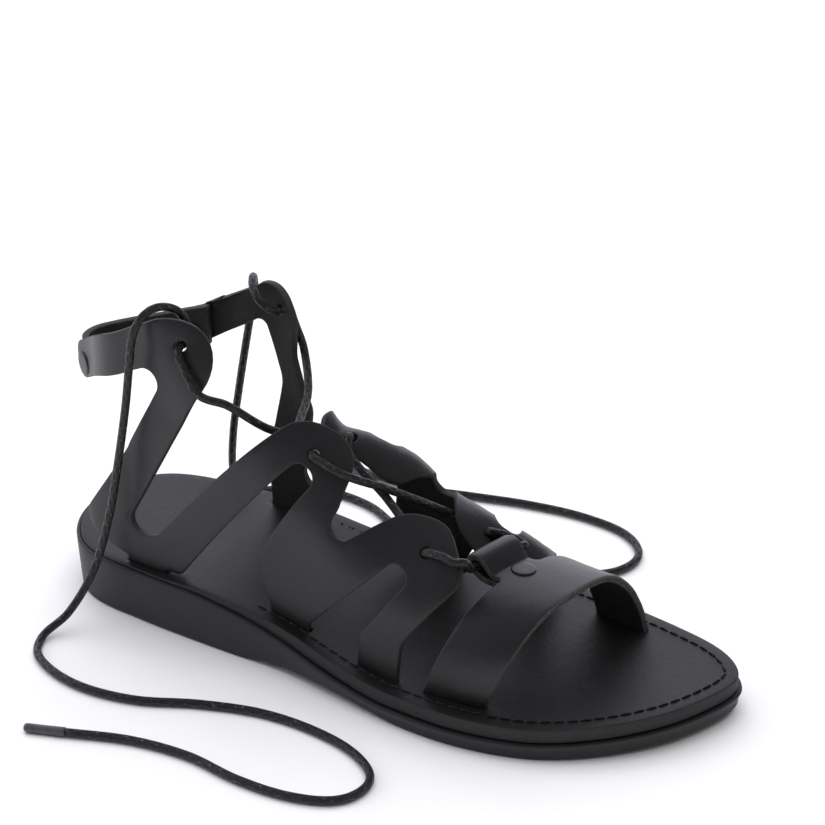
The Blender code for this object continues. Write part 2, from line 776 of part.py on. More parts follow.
def heel_span(side):
    """Length of the turn from the heel's back to where it starts, and from there to the strap's end."""
    turn = HEEL_LOOP_LENGTH[side]
    return turn, turn - (HEEL_TURN - at_station(HEEL_STRAP_ENDS[side]))


def make_heel_strap(where, finish):
    spans = {side: heel_span(side) for side in (LATERAL, MEDIAL)}
    total = spans[LATERAL][1] + spans[MEDIAL][1]

    def place(along, rise):
        past = along - spans[LATERAL][1]
        side = MEDIAL if past > 0 else LATERAL
        return on_last(side, HEEL_TURN - spans[side][0] + abs(past), rise)

    edges = [(share * total, low * UPPER_RISE, high * UPPER_RISE) for share, low, high in HEEL_STRAP]
    outline = [(along, low) for along, low, _ in edges] + [(along, high) for along, _, high in reversed(edges)]
    lines = [grid_lines(outline, axis, step) for axis, step in enumerate(HEEL_GRID)]
    return leather("heel_strap", facing(outline, MEDIAL), place, lines, where, finish)


# Toe strap with its tongue

def toe_arch(share):
    """Across (-1 to 1) and up (0 to 1) at a share of the way over the toe strap's arch."""
    angles = np.linspace(0.0, math.pi, 181)
    across = -np.sign(np.cos(angles)) * np.abs(np.cos(angles)) ** (2 / ARCH_SQUARENESS)
    up = np.sin(angles).clip(0) ** (2 / ARCH_SQUARENESS)
    steps = np.hypot(np.diff(across) * toe_half_span(), np.diff(up) * TOE_STRAP_HEIGHT)
    along = np.concatenate([[0.0], np.cumsum(steps)])
    at = np.clip(share, 0.0, 1.0) * along[-1]
    return float(np.interp(at, along, across)), float(np.interp(at, along, up)), float(along[-1])


def toe_foot(side, across):
    """Where the toe strap meets the insole on one side, at a share of its width."""
    _, rear, front = TOE_STRAP[0 if side == LATERAL else -1]
    x = at_station(rear + (front - rear) * across)
    return Vector((x, side * (half_width(side, x) - slit_inset(x)), insole_height(x)))


def toe_half_span():
    return (toe_foot(MEDIAL, 0.5).y - toe_foot(LATERAL, 0.5).y) / 2


def toe_strap_width():
    _, rear, front = TOE_STRAP[len(TOE_STRAP) // 2]
    return (front - rear) * LENGTH


def toe_surface(along, across):
    """A point of the toe strap's inner face, along it from the lateral side, and from its rear to its front."""
    span = toe_arch(0.0)[2]
    share = float(np.clip(along / span, 0.0, 1.0))
    sideways, up, _ = toe_arch(share)
    rear, front = read_table(TOE_STRAP, share)
    x = at_station(rear + (front - rear) * across)
    low = toe_foot(LATERAL, across)
    high = toe_foot(MEDIAL, across)
    foot = low + (high - low) * (sideways + 1) / 2
    middle = (low.x + high.x) / 2
    beyond = max(-along, along - span, 0.0)
    return Vector((x, foot.y, foot.z + up * (TOE_STRAP_HEIGHT - TOE_STRAP_FALL * (x - middle)) - beyond))


def toe_point(along, across, out=0.0):
    step = 0.5 * MM
    over = toe_surface(along + step, across) - toe_surface(along - step, across)
    forward = toe_surface(along, across + 0.02) - toe_surface(along, across - 0.02)
    normal = forward.cross(over).normalized()
    return toe_surface(along, across) + normal * out


def tongue_path(distance):
    """Back and up from the toe strap's rear edge, at a distance along the folded tongue."""
    back = 0.0
    up = 0.0
    heading = 0.0
    steps = 12
    for length, turn_to, _ in TONGUE_FOLD + ((100.0, -180, 1),):
        length = length * LACE
        for step in range(steps):
            piece = min(length / steps, distance)
            here = math.radians(heading + (turn_to - heading) * (step + 0.5) / steps)
            back += piece * math.cos(here)
            up += piece * math.sin(here)
            distance -= piece
            if distance <= 0:
                return back, up
        heading = turn_to
    return back, up


def make_toe_strap(where, finish):
    span = toe_arch(0.0)[2]
    width = toe_strap_width()
    down = -(INSOLE_THICKNESS - CLEARANCE)
    middle = span * TONGUE_AT
    bend = sum(length for length, _, _ in TONGUE_FOLD) * LACE
    reach = -(bend + TONGUE_LAP + tongue_path(bend)[0])

    def place(along, forward):
        if forward >= 0:
            return toe_point(along, forward / width)
        back, up = tongue_path(-forward)
        return toe_point(along, -back / width, up)

    outline = rounded([
        (down, 0.0, 0.0),
        (middle - TONGUE_WIDTH / 2, 0.0, 2 * MM),
        (middle - TONGUE_WIDTH / 2, reach, 3 * MM),
        (middle + TONGUE_WIDTH / 2, reach, 3 * MM),
        (middle + TONGUE_WIDTH / 2, 0.0, 2 * MM),
        (span - down, 0.0, 0.0),
        (span - down, width, 0.0),
        (down, width, 0.0),
    ])
    bends = [width / 2, -bend]
    start = 0.0
    for length, _, count in TONGUE_FOLD:
        bends += [-(start + length * k / count) * LACE for k in range(count)]
        start += length
    lines = [[0.0, span] + grid_lines(outline, 0, TOE_GRID), bends]
    return leather("toe_strap", facing(outline, MEDIAL), place, lines, where, finish)


def cut_toe_slits(insole, cutters):
    span = toe_arch(0.0)[2]
    room = SLIT_END_ROOM / toe_strap_width()
    deep = INSOLE_THICKNESS + CUTTER_EXTRA
    for name, start, end in (("lateral", -deep, CUTTER_ABOVE), ("medial", span - CUTTER_ABOVE, span + deep)):
        outline = [(start, -room), (end, -room), (end, 1 + room), (start, 1 + room)]

        def place(along, across):
            return toe_point(along, across, -CLEARANCE)

        lines = [[0.0, span], [0.25, 0.5, 0.75]]
        cutter = leather(
            f"toe_slit_cutter_{name}", outline[::-1], place, lines, cutters, None, LEATHER + 2 * CLEARANCE
        )
        cut(insole, cutter)


# Rivets and lace holes

def side_frame(side, share, rise):
    """A point on the outer face of a side strap, and the direction out of it."""
    x = at_station(share)
    lift = strap_lift(side, x)
    inner = on_last(side, x, rise * UPPER_RISE, lift)
    outer = on_last(side, x, rise * UPPER_RISE, lift + LEATHER)
    return outer, (outer - inner).normalized()


def drill(obj, name, point, outward, diameter, depth, cutters):
    bm = bmesh.new()
    radius = diameter / 2
    bmesh.ops.create_cone(bm, cap_ends=True, segments=HOLE_SIDES, radius1=radius, radius2=radius, depth=depth)
    cutter = add_object(name, bm, cutters)
    cutter.rotation_euler = outward.to_track_quat("Z", "Y").to_euler()
    cutter.location = point
    cut(obj, cutter)


def make_rivet(name, point, outward, stack, where, finish):
    """Cap, shank and washer, turned round the outward direction from a point on the strap's outer face."""
    top = CLEARANCE + CAP_THICKNESS
    under = -stack - CLEARANCE - WASHER_RELIEF
    profile = [
        (0.0, top),
        (RIVET_CAP * 0.30, top - CAP_THICKNESS * 0.12),
        (RIVET_CAP * 0.45, top - CAP_THICKNESS * 0.45),
        (RIVET_CAP * 0.50, CLEARANCE),
        (RIVET_SHANK / 2, CLEARANCE),
        (RIVET_SHANK / 2, under),
        (RIVET_WASHER / 2, under),
        (RIVET_WASHER / 2, under - WASHER_THICKNESS),
        (0.0, under - WASHER_THICKNESS),
    ]
    bm = bmesh.new()
    verts = [bm.verts.new((x, 0.0, z)) for x, z in profile]
    for a, b in zip(verts, verts[1:]):
        bm.edges.new((a, b))
    obj = add_object(name, bm, where, finish)
    turn = obj.modifiers.new("turn", "SCREW")
    turn.steps = RIVET_SIDES
    turn.render_steps = RIVET_SIDES
    turn.use_merge_vertices = True
    turn.merge_threshold = 0.00005
    obj.rotation_euler = outward.to_track_quat("Z", "Y").to_euler()
    obj.location = point
    return obj


# Lace

def smooth_path(points, spacing):
    """Points at about even spacing on a smooth open curve through the given points."""
    points = [Vector(point) for point in points]
    ends = [points[0] * 2 - points[1]] + points + [points[-1] * 2 - points[-2]]
    steps = 16
    fine = []
    for a, b, c, d in zip(ends, ends[1:], ends[2:], ends[3:]):
        reach = (c - b).length
        leave = (c - a).normalized() * reach
        arrive = (d - b).normalized() * reach
        for step in range(steps):
            t = step / steps
            rise = t * t * (3.0 - 2.0 * t)
            turn = leave * t * (1 - t) ** 2 - arrive * t * t * (1 - t)
            fine.append(b * (1 - rise) + c * rise + turn)
    fine = np.array(fine + [points[-1]])
    along = np.concatenate([[0.0], np.cumsum(np.linalg.norm(np.diff(fine, axis=0), axis=1))])
    even = np.linspace(0.0, along[-1], max(4, round(along[-1] / spacing)) + 1)
    return np.column_stack([np.interp(even, along, fine[:, k]) for k in range(3)])


def tube(name, points, diameter, where, finish=None):
    curve = bpy.data.curves.new(name, "CURVE")
    curve.dimensions = "3D"
    curve.bevel_depth = diameter / 2
    curve.bevel_resolution = 2
    curve.use_fill_caps = True
    spline = curve.splines.new("POLY")
    spline.points.add(len(points) - 1)
    for spline_point, point in zip(spline.points, points):
        spline_point.co = (*point, 1.0)
    obj = bpy.data.objects.new(name, curve)
    where.objects.link(obj)
    if finish:
        curve.materials.append(finish)
    return obj


def tube_mesh(name, points, diameter, where, finish=None):
    """The same tube as a closed mesh, for joins."""
    round_curve = tube(name + "_curve", points, diameter, where)
    graph = bpy.context.evaluated_depsgraph_get()
    mesh = bpy.data.meshes.new_from_object(round_curve.evaluated_get(graph))
    bm = bmesh.new()
    bm.from_mesh(mesh)
    bmesh.ops.remove_doubles(bm, verts=bm.verts, dist=0.00001)
    bpy.data.objects.remove(round_curve)
    return add_object(name, bm, where, finish)


def run_point(row):
    if isinstance(row[0], tuple):
        start, end, way, drop = row
        return run_point(start).lerp(run_point(end), way) - Vector((0.0, 0.0, drop * UPPER_RISE))
    side, share, rise, over = row
    off = over * (LACE / 2 + LACE_OFF)
    return on_last(side, at_station(share), rise * UPPER_RISE, off + LEATHER if over > 0 else off)


def make_crossing(name, run, other, where, cutters, finish):
    """Two runs of lace that touch where they cross."""
    step = LACE_STEP * LACE
    first, second = (smooth_path([run_point(row) for row in LACE_RUNS[key]], step) for key in (run, other))
    obj = tube_mesh(name, first, LACE, where, finish)
    helper = tube_mesh(name + "_other", second, LACE, cutters)
    join = obj.modifiers.new("join", "BOOLEAN")
    join.operation = "UNION"
    join.object = helper
    return obj


def fold_axis(along):
    """The middle of the tongue's turn, where the lace lies."""
    start = sum(length for length, _, _ in TONGUE_FOLD[:FOLD_TURN]) * LACE
    length, heading, _ = TONGUE_FOLD[FOLD_TURN]
    before = math.radians(TONGUE_FOLD[FOLD_TURN - 1][1])
    radius = length * LACE / (before - math.radians(heading))
    back, up = tongue_path(start)
    back += radius * math.sin(before)
    up -= radius * math.cos(before)
    return toe_point(along, -back / toe_strap_width(), up)


def make_toe_bar(where, finish):
    middle = toe_arch(0.0)[2] * TONGUE_AT
    outside = [run_point(row) for row in TOE_RUN]
    inside = [fold_axis(middle + share * TONGUE_WIDTH) for share in TOE_BAR_IN_FOLD]
    up = Vector((0.0, 0.0, UPPER_RISE))
    between = [outside[-1].lerp(inside[0], way) - drop * up for way, drop in TOE_BAR_DROP]
    points = smooth_path(outside + between + inside, TOE_BAR_STEP * LACE)
    return tube("lace_toe_bar", points, LACE, where, finish)


def make_lace_end(side, name, where):
    """A free end: the cord, and its aglet in line with the cord's last stretch."""
    points = smooth_path(LACE_ENDS[side], FREE_STEP * LACE)
    tube(f"lace_end_{name}", points, LACE, where, material(f"{name}_lace_cord", (0.02, 0.02, 0.02), 0.5))
    tip = Vector(points[-1])
    along = (tip - Vector(points[-2])).normalized()
    start = tip + along * CLEARANCE
    finish = material(f"{name}_aglet_plastic", (0.10, 0.10, 0.10), 0.35)
    tube(f"aglet_{name}", [start, start + along * AGLET_LENGTH], AGLET, where, finish)


def build():
    for obj in list(bpy.data.objects):
        bpy.data.objects.remove(obj)
    parts = collection("lace_up_sandal")
    cutters = collection("cutters")
    leather_colour = (0.015, 0.015, 0.017)
    make_outsole(parts, material("outsole_rubber", (0.02, 0.02, 0.022), 0.55))
    insole = make_insole(parts, material("insole_leather", (0.018, 0.018, 0.017), 0.6))
    cut_slits(insole, cutters)
    cut_toe_slits(insole, cutters)
    straps = {}
    for side, name in ((LATERAL, "lateral"), (MEDIAL, "medial")):
        finish = material(f"{name}_leather", leather_colour, 0.45)
        straps[side] = make_side_strap(side, f"{name}_strap", parts, finish)
    heel = make_heel_strap(parts, material("heel_leather", leather_colour, 0.5))
    toe = make_toe_strap(parts, material("toe_leather", leather_colour, 0.45))

    for side, name in ((LATERAL, "lateral"), (MEDIAL, "medial")):
        for number, (share, rise) in enumerate(LACE_HOLES[side]):
            point, outward = side_frame(side, share, rise)
            drill(straps[side], f"lace_hole_{name}_{number}", point, outward, LACE_HOLE, 4 * LEATHER, cutters)
        point, outward = side_frame(side, *HEEL_RIVETS[side])
        stack = 2 * LEATHER + CLEARANCE
        bore = RIVET_SHANK + 2 * CLEARANCE
        drill(straps[side], f"{name}_bore", point, outward, bore, 6 * LEATHER, cutters)
        drill(heel, f"{name}_heel_bore", point, outward, bore, 6 * LEATHER, cutters)
        finish = material(f"{name}_rivet_metal", (0.02, 0.02, 0.021), 0.4, 0.6)
        make_rivet(f"{name}_rivet", point, outward, stack, parts, finish)

    middle = toe_arch(0.0)[2] * TONGUE_AT
    point = toe_point(middle, TOE_RIVET_BACK, LEATHER)
    outward = (point - toe_point(middle, TOE_RIVET_BACK)).normalized()
    drill(toe, "toe_bore", point, outward, RIVET_SHANK + 2 * CLEARANCE, 6 * LEATHER, cutters)
    finish = material("toe_rivet_metal", (0.02, 0.02, 0.021), 0.4, 0.6)
    make_rivet("toe_rivet", point, outward, 2 * LEATHER + CLEARANCE, parts, finish)

    cord_colour = (0.02, 0.02, 0.02)
    for run in ("low", "high"):
        finish = material(f"{run}_cord", cord_colour, 0.5)
        make_crossing(f"lace_cross_{run}", run, f"{run}_other", parts, cutters, finish)
    make_toe_bar(parts, material("toe_cord", cord_colour, 0.5))
    make_lace_end(LATERAL, "lateral", parts)
    make_lace_end(MEDIAL, "medial", parts)


build()
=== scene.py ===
# %% [markdown]
# # A lace-up leather sandal
# A right sandal of black leather: a moulded rubber outsole, a leather-covered insole, four straps that are
# the upper, three rivets and one long waxed lace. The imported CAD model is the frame, and every piece here is
# made in the same place as its CAD node, only finer.

# %% Load the frame
import math

import bmesh
import bpy
import numpy as np
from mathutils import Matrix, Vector, noise
from mathutils.geometry import delaunay_2d_cdt


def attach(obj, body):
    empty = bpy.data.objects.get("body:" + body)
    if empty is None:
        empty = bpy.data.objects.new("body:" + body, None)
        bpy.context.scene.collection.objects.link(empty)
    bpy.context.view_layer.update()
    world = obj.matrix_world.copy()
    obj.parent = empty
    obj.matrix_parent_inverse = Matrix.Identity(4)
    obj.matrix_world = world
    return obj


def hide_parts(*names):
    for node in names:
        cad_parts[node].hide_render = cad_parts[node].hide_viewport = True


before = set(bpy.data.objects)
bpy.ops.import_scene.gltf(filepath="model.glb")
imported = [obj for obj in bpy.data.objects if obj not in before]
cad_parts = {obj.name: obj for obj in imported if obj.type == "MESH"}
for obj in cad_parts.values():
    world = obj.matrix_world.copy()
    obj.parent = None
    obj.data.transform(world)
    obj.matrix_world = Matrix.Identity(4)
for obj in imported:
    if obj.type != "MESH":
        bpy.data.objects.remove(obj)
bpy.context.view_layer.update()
print("CAD nodes:", sorted(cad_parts))

MM = 0.001
LATERAL = -1
MEDIAL = 1

# %% [markdown]
# ## Camera
# The photograph was taken from the outer side, about 30 degrees round towards the toe and about 30 degrees
# above, with a long lens. The picture is square, so one sensor width serves both ways.

# %% Camera
CAMERA_AT = Vector((0.4944, -0.7121, 0.5646))
CAMERA_AIM = Vector((0.0914, 0.01794, 0.08473))

camera_data = bpy.data.cameras.new("camera")
camera_data.lens = 118.597
camera_data.sensor_width = 36.0
camera = bpy.data.objects.new("camera", camera_data)
bpy.context.scene.collection.objects.link(camera)
camera.location = CAMERA_AT
camera.rotation_euler = (CAMERA_AIM - CAMERA_AT).to_track_quat("-Z", "Y").to_euler()
bpy.context.scene.camera = camera
print("camera distance", round((CAMERA_AIM - CAMERA_AT).length, 3))

# %% [markdown]
# ## Helpers for meshes and smooth tables
# A shoe is drawn from a few measures: a share of the length, a share of the ball width, a share of the rise.
# The tables below keep those shares, and a smooth curve through the rows gives every point between them.

# %% Helpers for meshes and curves
def add_piece(name, bm, finishes):
    mesh = bpy.data.meshes.new(name)
    bm.to_mesh(mesh)
    bm.free()
    for finish in finishes:
        mesh.materials.append(finish)
    obj = bpy.data.objects.new(name, mesh)
    bpy.context.scene.collection.objects.link(obj)
    mesh.shade_smooth()
    return obj


def ease(value, start, end):
    share = np.clip((value - start) / (end - start), 0.0, 1.0)
    return share * share * (3.0 - 2.0 * share)


def read_table(rows, value):
    """Every column of a table of rows (value, ...), read on a smooth curve through its rows."""
    table = np.array(rows, float)
    value = float(np.clip(value, table[0, 0], table[-1, 0]))
    i = int(np.clip(np.searchsorted(table[:, 0], value) - 1, 0, len(table) - 2))
    slopes = np.gradient(table[:, 1:], table[:, 0], axis=0)
    span = table[i + 1, 0] - table[i, 0]
    t = (value - table[i, 0]) / span
    rise = t * t * (3.0 - 2.0 * t)
    leave = t * (1.0 - t) ** 2 * span
    arrive = -t * t * (1.0 - t) * span
    return table[i, 1:] * (1 - rise) + table[i + 1, 1:] * rise + slopes[i] * leave + slopes[i + 1] * arrive


def fine_curve(stretches, steps):
    """Close points on a smooth curve, for its stretches (before, start, end, after)."""
    fine = []
    for a, b, c, d in stretches:
        reach = np.linalg.norm(c - b)
        leave = (c - a) / np.linalg.norm(c - a) * reach
        arrive = (d - b) / np.linalg.norm(d - b) * reach
        for step in range(steps):
            t = step / steps
            rise = t * t * (3.0 - 2.0 * t)
            fine.append(b * (1 - rise) + c * rise + leave * t * (1 - t) ** 2 - arrive * t * t * (1 - t))
    return fine


def lengths_along(points):
    return np.concatenate([[0.0], np.cumsum(np.linalg.norm(np.diff(points, axis=0), axis=1))])


def read_along(points, along, places):
    return np.column_stack([np.interp(places, along, column) for column in points.T])


def smooth_loop(corners, count):
    """A closed smooth curve through the corners, as count points at even spacing."""
    corners = np.array(corners, float)
    shifted = [np.roll(corners, shift, axis=0) for shift in (1, 0, -1, -2)]
    fine = fine_curve(zip(*shifted), 24)
    fine = np.array(fine + fine[:1])
    along = lengths_along(fine)
    return read_along(fine, along, np.linspace(0.0, along[-1], count, endpoint=False))


def smooth_path(points, spacing):
    """Points at about even spacing on a smooth open curve through the given points."""
    points = np.array([tuple(point) for point in points], float)
    ends = [points[0] * 2 - points[1], *points, points[-1] * 2 - points[-2]]
    fine = np.array(fine_curve(zip(ends, ends[1:], ends[2:], ends[3:]), 16) + [points[-1]])
    along = lengths_along(fine)
    return read_along(fine, along, np.linspace(0.0, along[-1], max(4, round(along[-1] / spacing)) + 1))


def circle(count):
    """The way out from the centre, at even steps round a circle."""
    return [(math.cos(a), math.sin(a)) for a in (2 * math.pi * k / count for k in range(count))]


def join_rings(bm, rings):
    for low, high in zip(rings, rings[1:]):
        for k in range(len(low)):
            j = (k + 1) % len(low)
            bm.faces.new((low[k], low[j], high[j], high[k]))


# %% [markdown]
# ## The measures of the sole and the last
# A last is the wooden foot that a shoe is built on. The same sizes and shares as in the CAD source are
# repeated here, so that each visible piece lies exactly where its solid does.

# %% Sizes and the sole's outline
LENGTH = 258 * MM
BALL_WIDTH = 97 * MM
HEEL_REST = 36 * MM
HEEL_RIM = 21.4 * MM
BALL_RIM = 6.7 * MM
TOE_SPRING = 2.3 * MM
ARCH_LIFT = 2.6 * MM
INSOLE_THICKNESS = 5.4 * MM
INSOLE_SHOWS_HEEL = 0.7 * MM
INSOLE_SHOWS_BALL = 5.6 * MM
RIM_WIDTH = 1.2 * MM
EDGE_ROUND = 0.8 * MM
TREAD_ROUND = 1.3 * MM
WALL_TAPER = 1.1 * MM
CLEARANCE = 0.3 * MM
LEATHER = 2.6 * MM
UPPER_RISE = 103 * MM
STRAP_WIDTH = 17 * MM
SLIT_INSET_HEEL = 7.5 * MM
SLIT_INSET_BALL = 12.5 * MM
SLIT_END_ROOM = 0.6 * MM
TOE_STRAP_HEIGHT = 34 * MM
TOE_STRAP_FALL = 0.33
ARCH_SQUARENESS = 2.25
TONGUE_WIDTH = 16.5 * MM
TONGUE_LAP = 12 * MM
LACE = 3.0 * MM
LACE_HOLE = 4.6 * MM
HEEL_BACK = -HEEL_REST
HEEL_TURN_LENGTH = 38 * MM
HEEL_TURN = HEEL_BACK + HEEL_TURN_LENGTH
HEEL_SETBACK = 1.5 * MM

# First and last station of each slow change along the shoe
RIM_FALLS = (0.243, 0.594)
RIM_SPRINGS = (0.765, 1.017)
FLOOR_SPRINGS = (0.785, 1.017)
INSOLE_RISES = (0.165, 0.516)
SLIT_MOVES = (0.16, 0.70)

SOLE_OUTLINE = (
    # station, lateral, medial
    (0.018, 0.200, 0.190),
    (0.070, 0.335, 0.310),
    (0.170, 0.380, 0.360),
    (0.280, 0.400, 0.360),
    (0.400, 0.415, 0.365),
    (0.500, 0.460, 0.420),
    (0.600, 0.500, 0.480),
    (0.700, 0.505, 0.495),
    (0.800, 0.445, 0.455),
    (0.880, 0.320, 0.405),
    (0.945, 0.150, 0.345),
    (0.985, -0.030, 0.265),
)
TOE_TIP = (1.0, -0.175)
HEEL_TIP = (0.0, 0.0)

# Arch under the waist: station, share of ARCH_LIFT
ARCH = ((0.0, 0.0), (0.34, 0.0), (0.39, 0.75), (0.46, 1.0), (0.54, 0.7), (0.61, 0.0), (1.0, 0.0))


def outline_corners():
    lateral = [(share, -half) for share, half, _ in SOLE_OUTLINE]
    medial = [(share, half) for share, _, half in reversed(SOLE_OUTLINE)]
    tip = (TOE_TIP[0], -TOE_TIP[1])
    corners = [HEEL_TIP] + lateral + [tip] + medial
    return [(HEEL_BACK + share * LENGTH, half * BALL_WIDTH) for share, half in corners]


FINE_POINTS = 1056
FINE_OUTLINE = smooth_loop(outline_corners(), FINE_POINTS)


def half_width(side, x):
    """Distance from the centre line to the sole's edge on one side."""
    toe = int(np.argmax(FINE_OUTLINE[:, 0]))
    loop = FINE_OUTLINE[: toe + 1] if side == LATERAL else FINE_OUTLINE[toe:]
    order = np.argsort(loop[:, 0])
    return side * float(np.interp(x, loop[order, 0], loop[order, 1]))


def station(x):
    return (x - HEEL_BACK) / LENGTH


def at_station(share):
    return HEEL_BACK + share * LENGTH


def rim_height(x):
    drop = HEEL_RIM + (BALL_RIM - HEEL_RIM) * ease(station(x), *RIM_FALLS)
    return drop + TOE_SPRING * ease(station(x), *RIM_SPRINGS)


def insole_height(x):
    shows = INSOLE_SHOWS_HEEL + (INSOLE_SHOWS_BALL - INSOLE_SHOWS_HEEL) * ease(station(x), *INSOLE_RISES)
    return rim_height(x) + shows


def insole_under(x):
    return insole_height(x) - INSOLE_THICKNESS


def floor_height(x):
    spring = TOE_SPRING * ease(station(x), *FLOOR_SPRINGS)
    arch = ARCH_LIFT * float(read_table(ARCH, station(x))[0])
    return spring + max(arch, 0.0)


print("rim at heel, waist and toe (mm):", [round(rim_height(at_station(s)) / MM, 1) for s in (0, 0.45, 1)])

# %% How the side pieces bend over the last
BENDS = {
    # station, lean in degrees, straight rise and radius as shares of UPPER_RISE, droop in degrees
    LATERAL: (
        (0.15, 2, 1.07, 0.60, 90),
        (0.28, 1, 0.60, 0.58, 90),
        (0.42, 2, 0.35, 0.49, 90),
        (0.57, 4, 0.19, 0.47, 90),
        (0.73, 6, 0.14, 0.43, 90),
    ),
    MEDIAL: (
        (0.15, 2, 1.07, 0.50, 90),
        (0.28, 3, 0.90, 0.50, 90),
        (0.33, 8, 0.72, 0.25, 110),
        (0.40, 17, 0.55, 0.07, 140),
        (0.44, 15, 0.54, 0.07, 140),
        (0.49, 13, 0.47, 0.08, 125),
        (0.55, 17, 0.38, 0.08, 125),
        (0.61, 22, 0.35, 0.08, 130),
        (0.70, 22, 0.21, 0.08, 125),
    ),
}


# Round the heel the straps make a slack loop with its corner to the lateral side
HEEL_LOOP = {
    # share of that side's way to the corner, heading in towards the other side in degrees
    LATERAL: ((0.0, 0), (0.27, 42), (0.50, 42), (0.68, 32), (0.87, 32), (1.0, 80)),
    MEDIAL: ((0.0, 0), (0.86, 52), (1.0, 100)),
}
HEEL_LOOP_LENGTH = {LATERAL: 43.5 * MM, MEDIAL: 46 * MM}
HEEL_CORNER = -2 * MM  # the loop's corner, across from the middle line
HEEL_LOOP_RISE = (0.40, 0.56)  # below the first the leather follows the round heel, above the second the loop


def slit_inset(x):
    return float(np.interp(station(x), SLIT_MOVES, (SLIT_INSET_HEEL, SLIT_INSET_BALL)))


def bend_in(side, x, rise, out):
    """How far in and how high the leather is at a rise, out metres off the last."""
    lean, straight, radius, droop = read_table(BENDS[side], station(x))
    lean = math.radians(lean)
    droop = math.radians(droop)
    straight *= UPPER_RISE
    radius *= UPPER_RISE
    turn = lean
    inward = rise * math.sin(lean)
    up = rise * math.cos(lean)
    if rise > straight:
        turn = min(lean + (rise - straight) / radius, droop)
        past = rise - straight - (turn - lean) * radius
        inward = straight * math.sin(lean) + radius * (math.cos(lean) - math.cos(turn))
        inward += past * math.sin(turn)
        up = straight * math.cos(lean) + radius * (math.sin(turn) - math.sin(lean))
        up += past * math.cos(turn)
    return inward - out * math.cos(turn), up + out * math.sin(turn)


def heel_loop(side):
    """Points of one side of the heel's loop, as shares of the way back and of the way in."""
    shares = np.linspace(0.0, 1.0, 61)
    headings = np.radians(np.interp((shares[1:] + shares[:-1]) / 2, *np.array(HEEL_LOOP[side], float).T))
    back = np.concatenate([[0.0], np.cumsum(np.cos(headings))])
    across = np.concatenate([[0.0], np.cumsum(np.sin(headings))])
    return shares, back / back[-1], across / across[-1]


HEEL_LOOPS = {side: heel_loop(side) for side in (LATERAL, MEDIAL)}


def round_heel(side, x, inward, base):
    """Plan place and outward direction on the round heel, past the heel turn."""
    deep = HEEL_TURN - HEEL_BACK - HEEL_SETBACK
    angle = (HEEL_TURN - x) / ((deep + base) / 2)
    place = Vector((HEEL_TURN - (deep - inward) * math.sin(angle), side * (base - inward) * math.cos(angle)))
    outward = Vector((-math.sin(angle) * (base - inward), side * math.cos(angle) * (deep - inward)))
    return place, outward.normalized()


def slack_heel(side, x, inward, base):
    """Plan place and outward direction on the slack loop, past the heel turn."""
    shares, back, across = HEEL_LOOPS[side]
    deep = HEEL_TURN - HEEL_BACK - HEEL_SETBACK - inward
    start = side * (base - inward)

    def at(share):
        x_there = HEEL_TURN - deep * float(np.interp(share, shares, back))
        return Vector((x_there, start + (HEEL_CORNER - start) * float(np.interp(share, shares, across))))

    share = float(np.clip((HEEL_TURN - x) / HEEL_LOOP_LENGTH[side], 0.0, 1.0))
    step = 0.02
    ahead = at(min(share + step, 1.0)) - at(max(share - step, 0.0))
    return at(share), Vector((side * ahead.y, -side * ahead.x)).normalized()


def on_last(side, x, rise, out=0.0):
    """A point of a side piece: x along the foot, past the heel turn round the heel, rise up the leather."""
    foot = max(x, HEEL_TURN)
    base = half_width(side, foot) - slit_inset(foot)
    if x >= HEEL_TURN:
        inward, up = bend_in(side, foot, rise, out)
        return Vector((x, side * (base - inward), insole_height(foot) + up))
    inward, up = bend_in(side, foot, rise, 0.0)
    slack = float(ease(rise / UPPER_RISE, *HEEL_LOOP_RISE))
    place, outward = round_heel(side, x, inward, base)
    loop_place, loop_outward = slack_heel(side, x, inward, base)
    place = place.lerp(loop_place, slack) + outward.lerp(loop_outward, slack).normalized() * out
    return Vector((place.x, place.y, insole_height(foot) + up))


# %% [markdown]
# ## The lace and its two free ends
# One long round lace, braided and waxed, is doubled at the toe and goes up criss-cross through six holes.
# Each half enters a hole from outside and leaves it on the inside. On the foot its ends go round the ankle
# and are tied in a bow. Off the foot they can't stand, so they hang over the ankle straps and lie on the
# floor.

# %% Lace helpers
OVER = 1
UNDER = -1
LACE_OFF = 0.6 * MM


def run_point(row):
    if isinstance(row[0], tuple):
        start, end, way, drop = row
        return run_point(start).lerp(run_point(end), way) - Vector((0.0, 0.0, drop * UPPER_RISE))
    side, share, rise, over = row
    off = over * (LACE / 2 + LACE_OFF)
    return on_last(side, at_station(share), rise * UPPER_RISE, off + LEATHER if over > 0 else off)


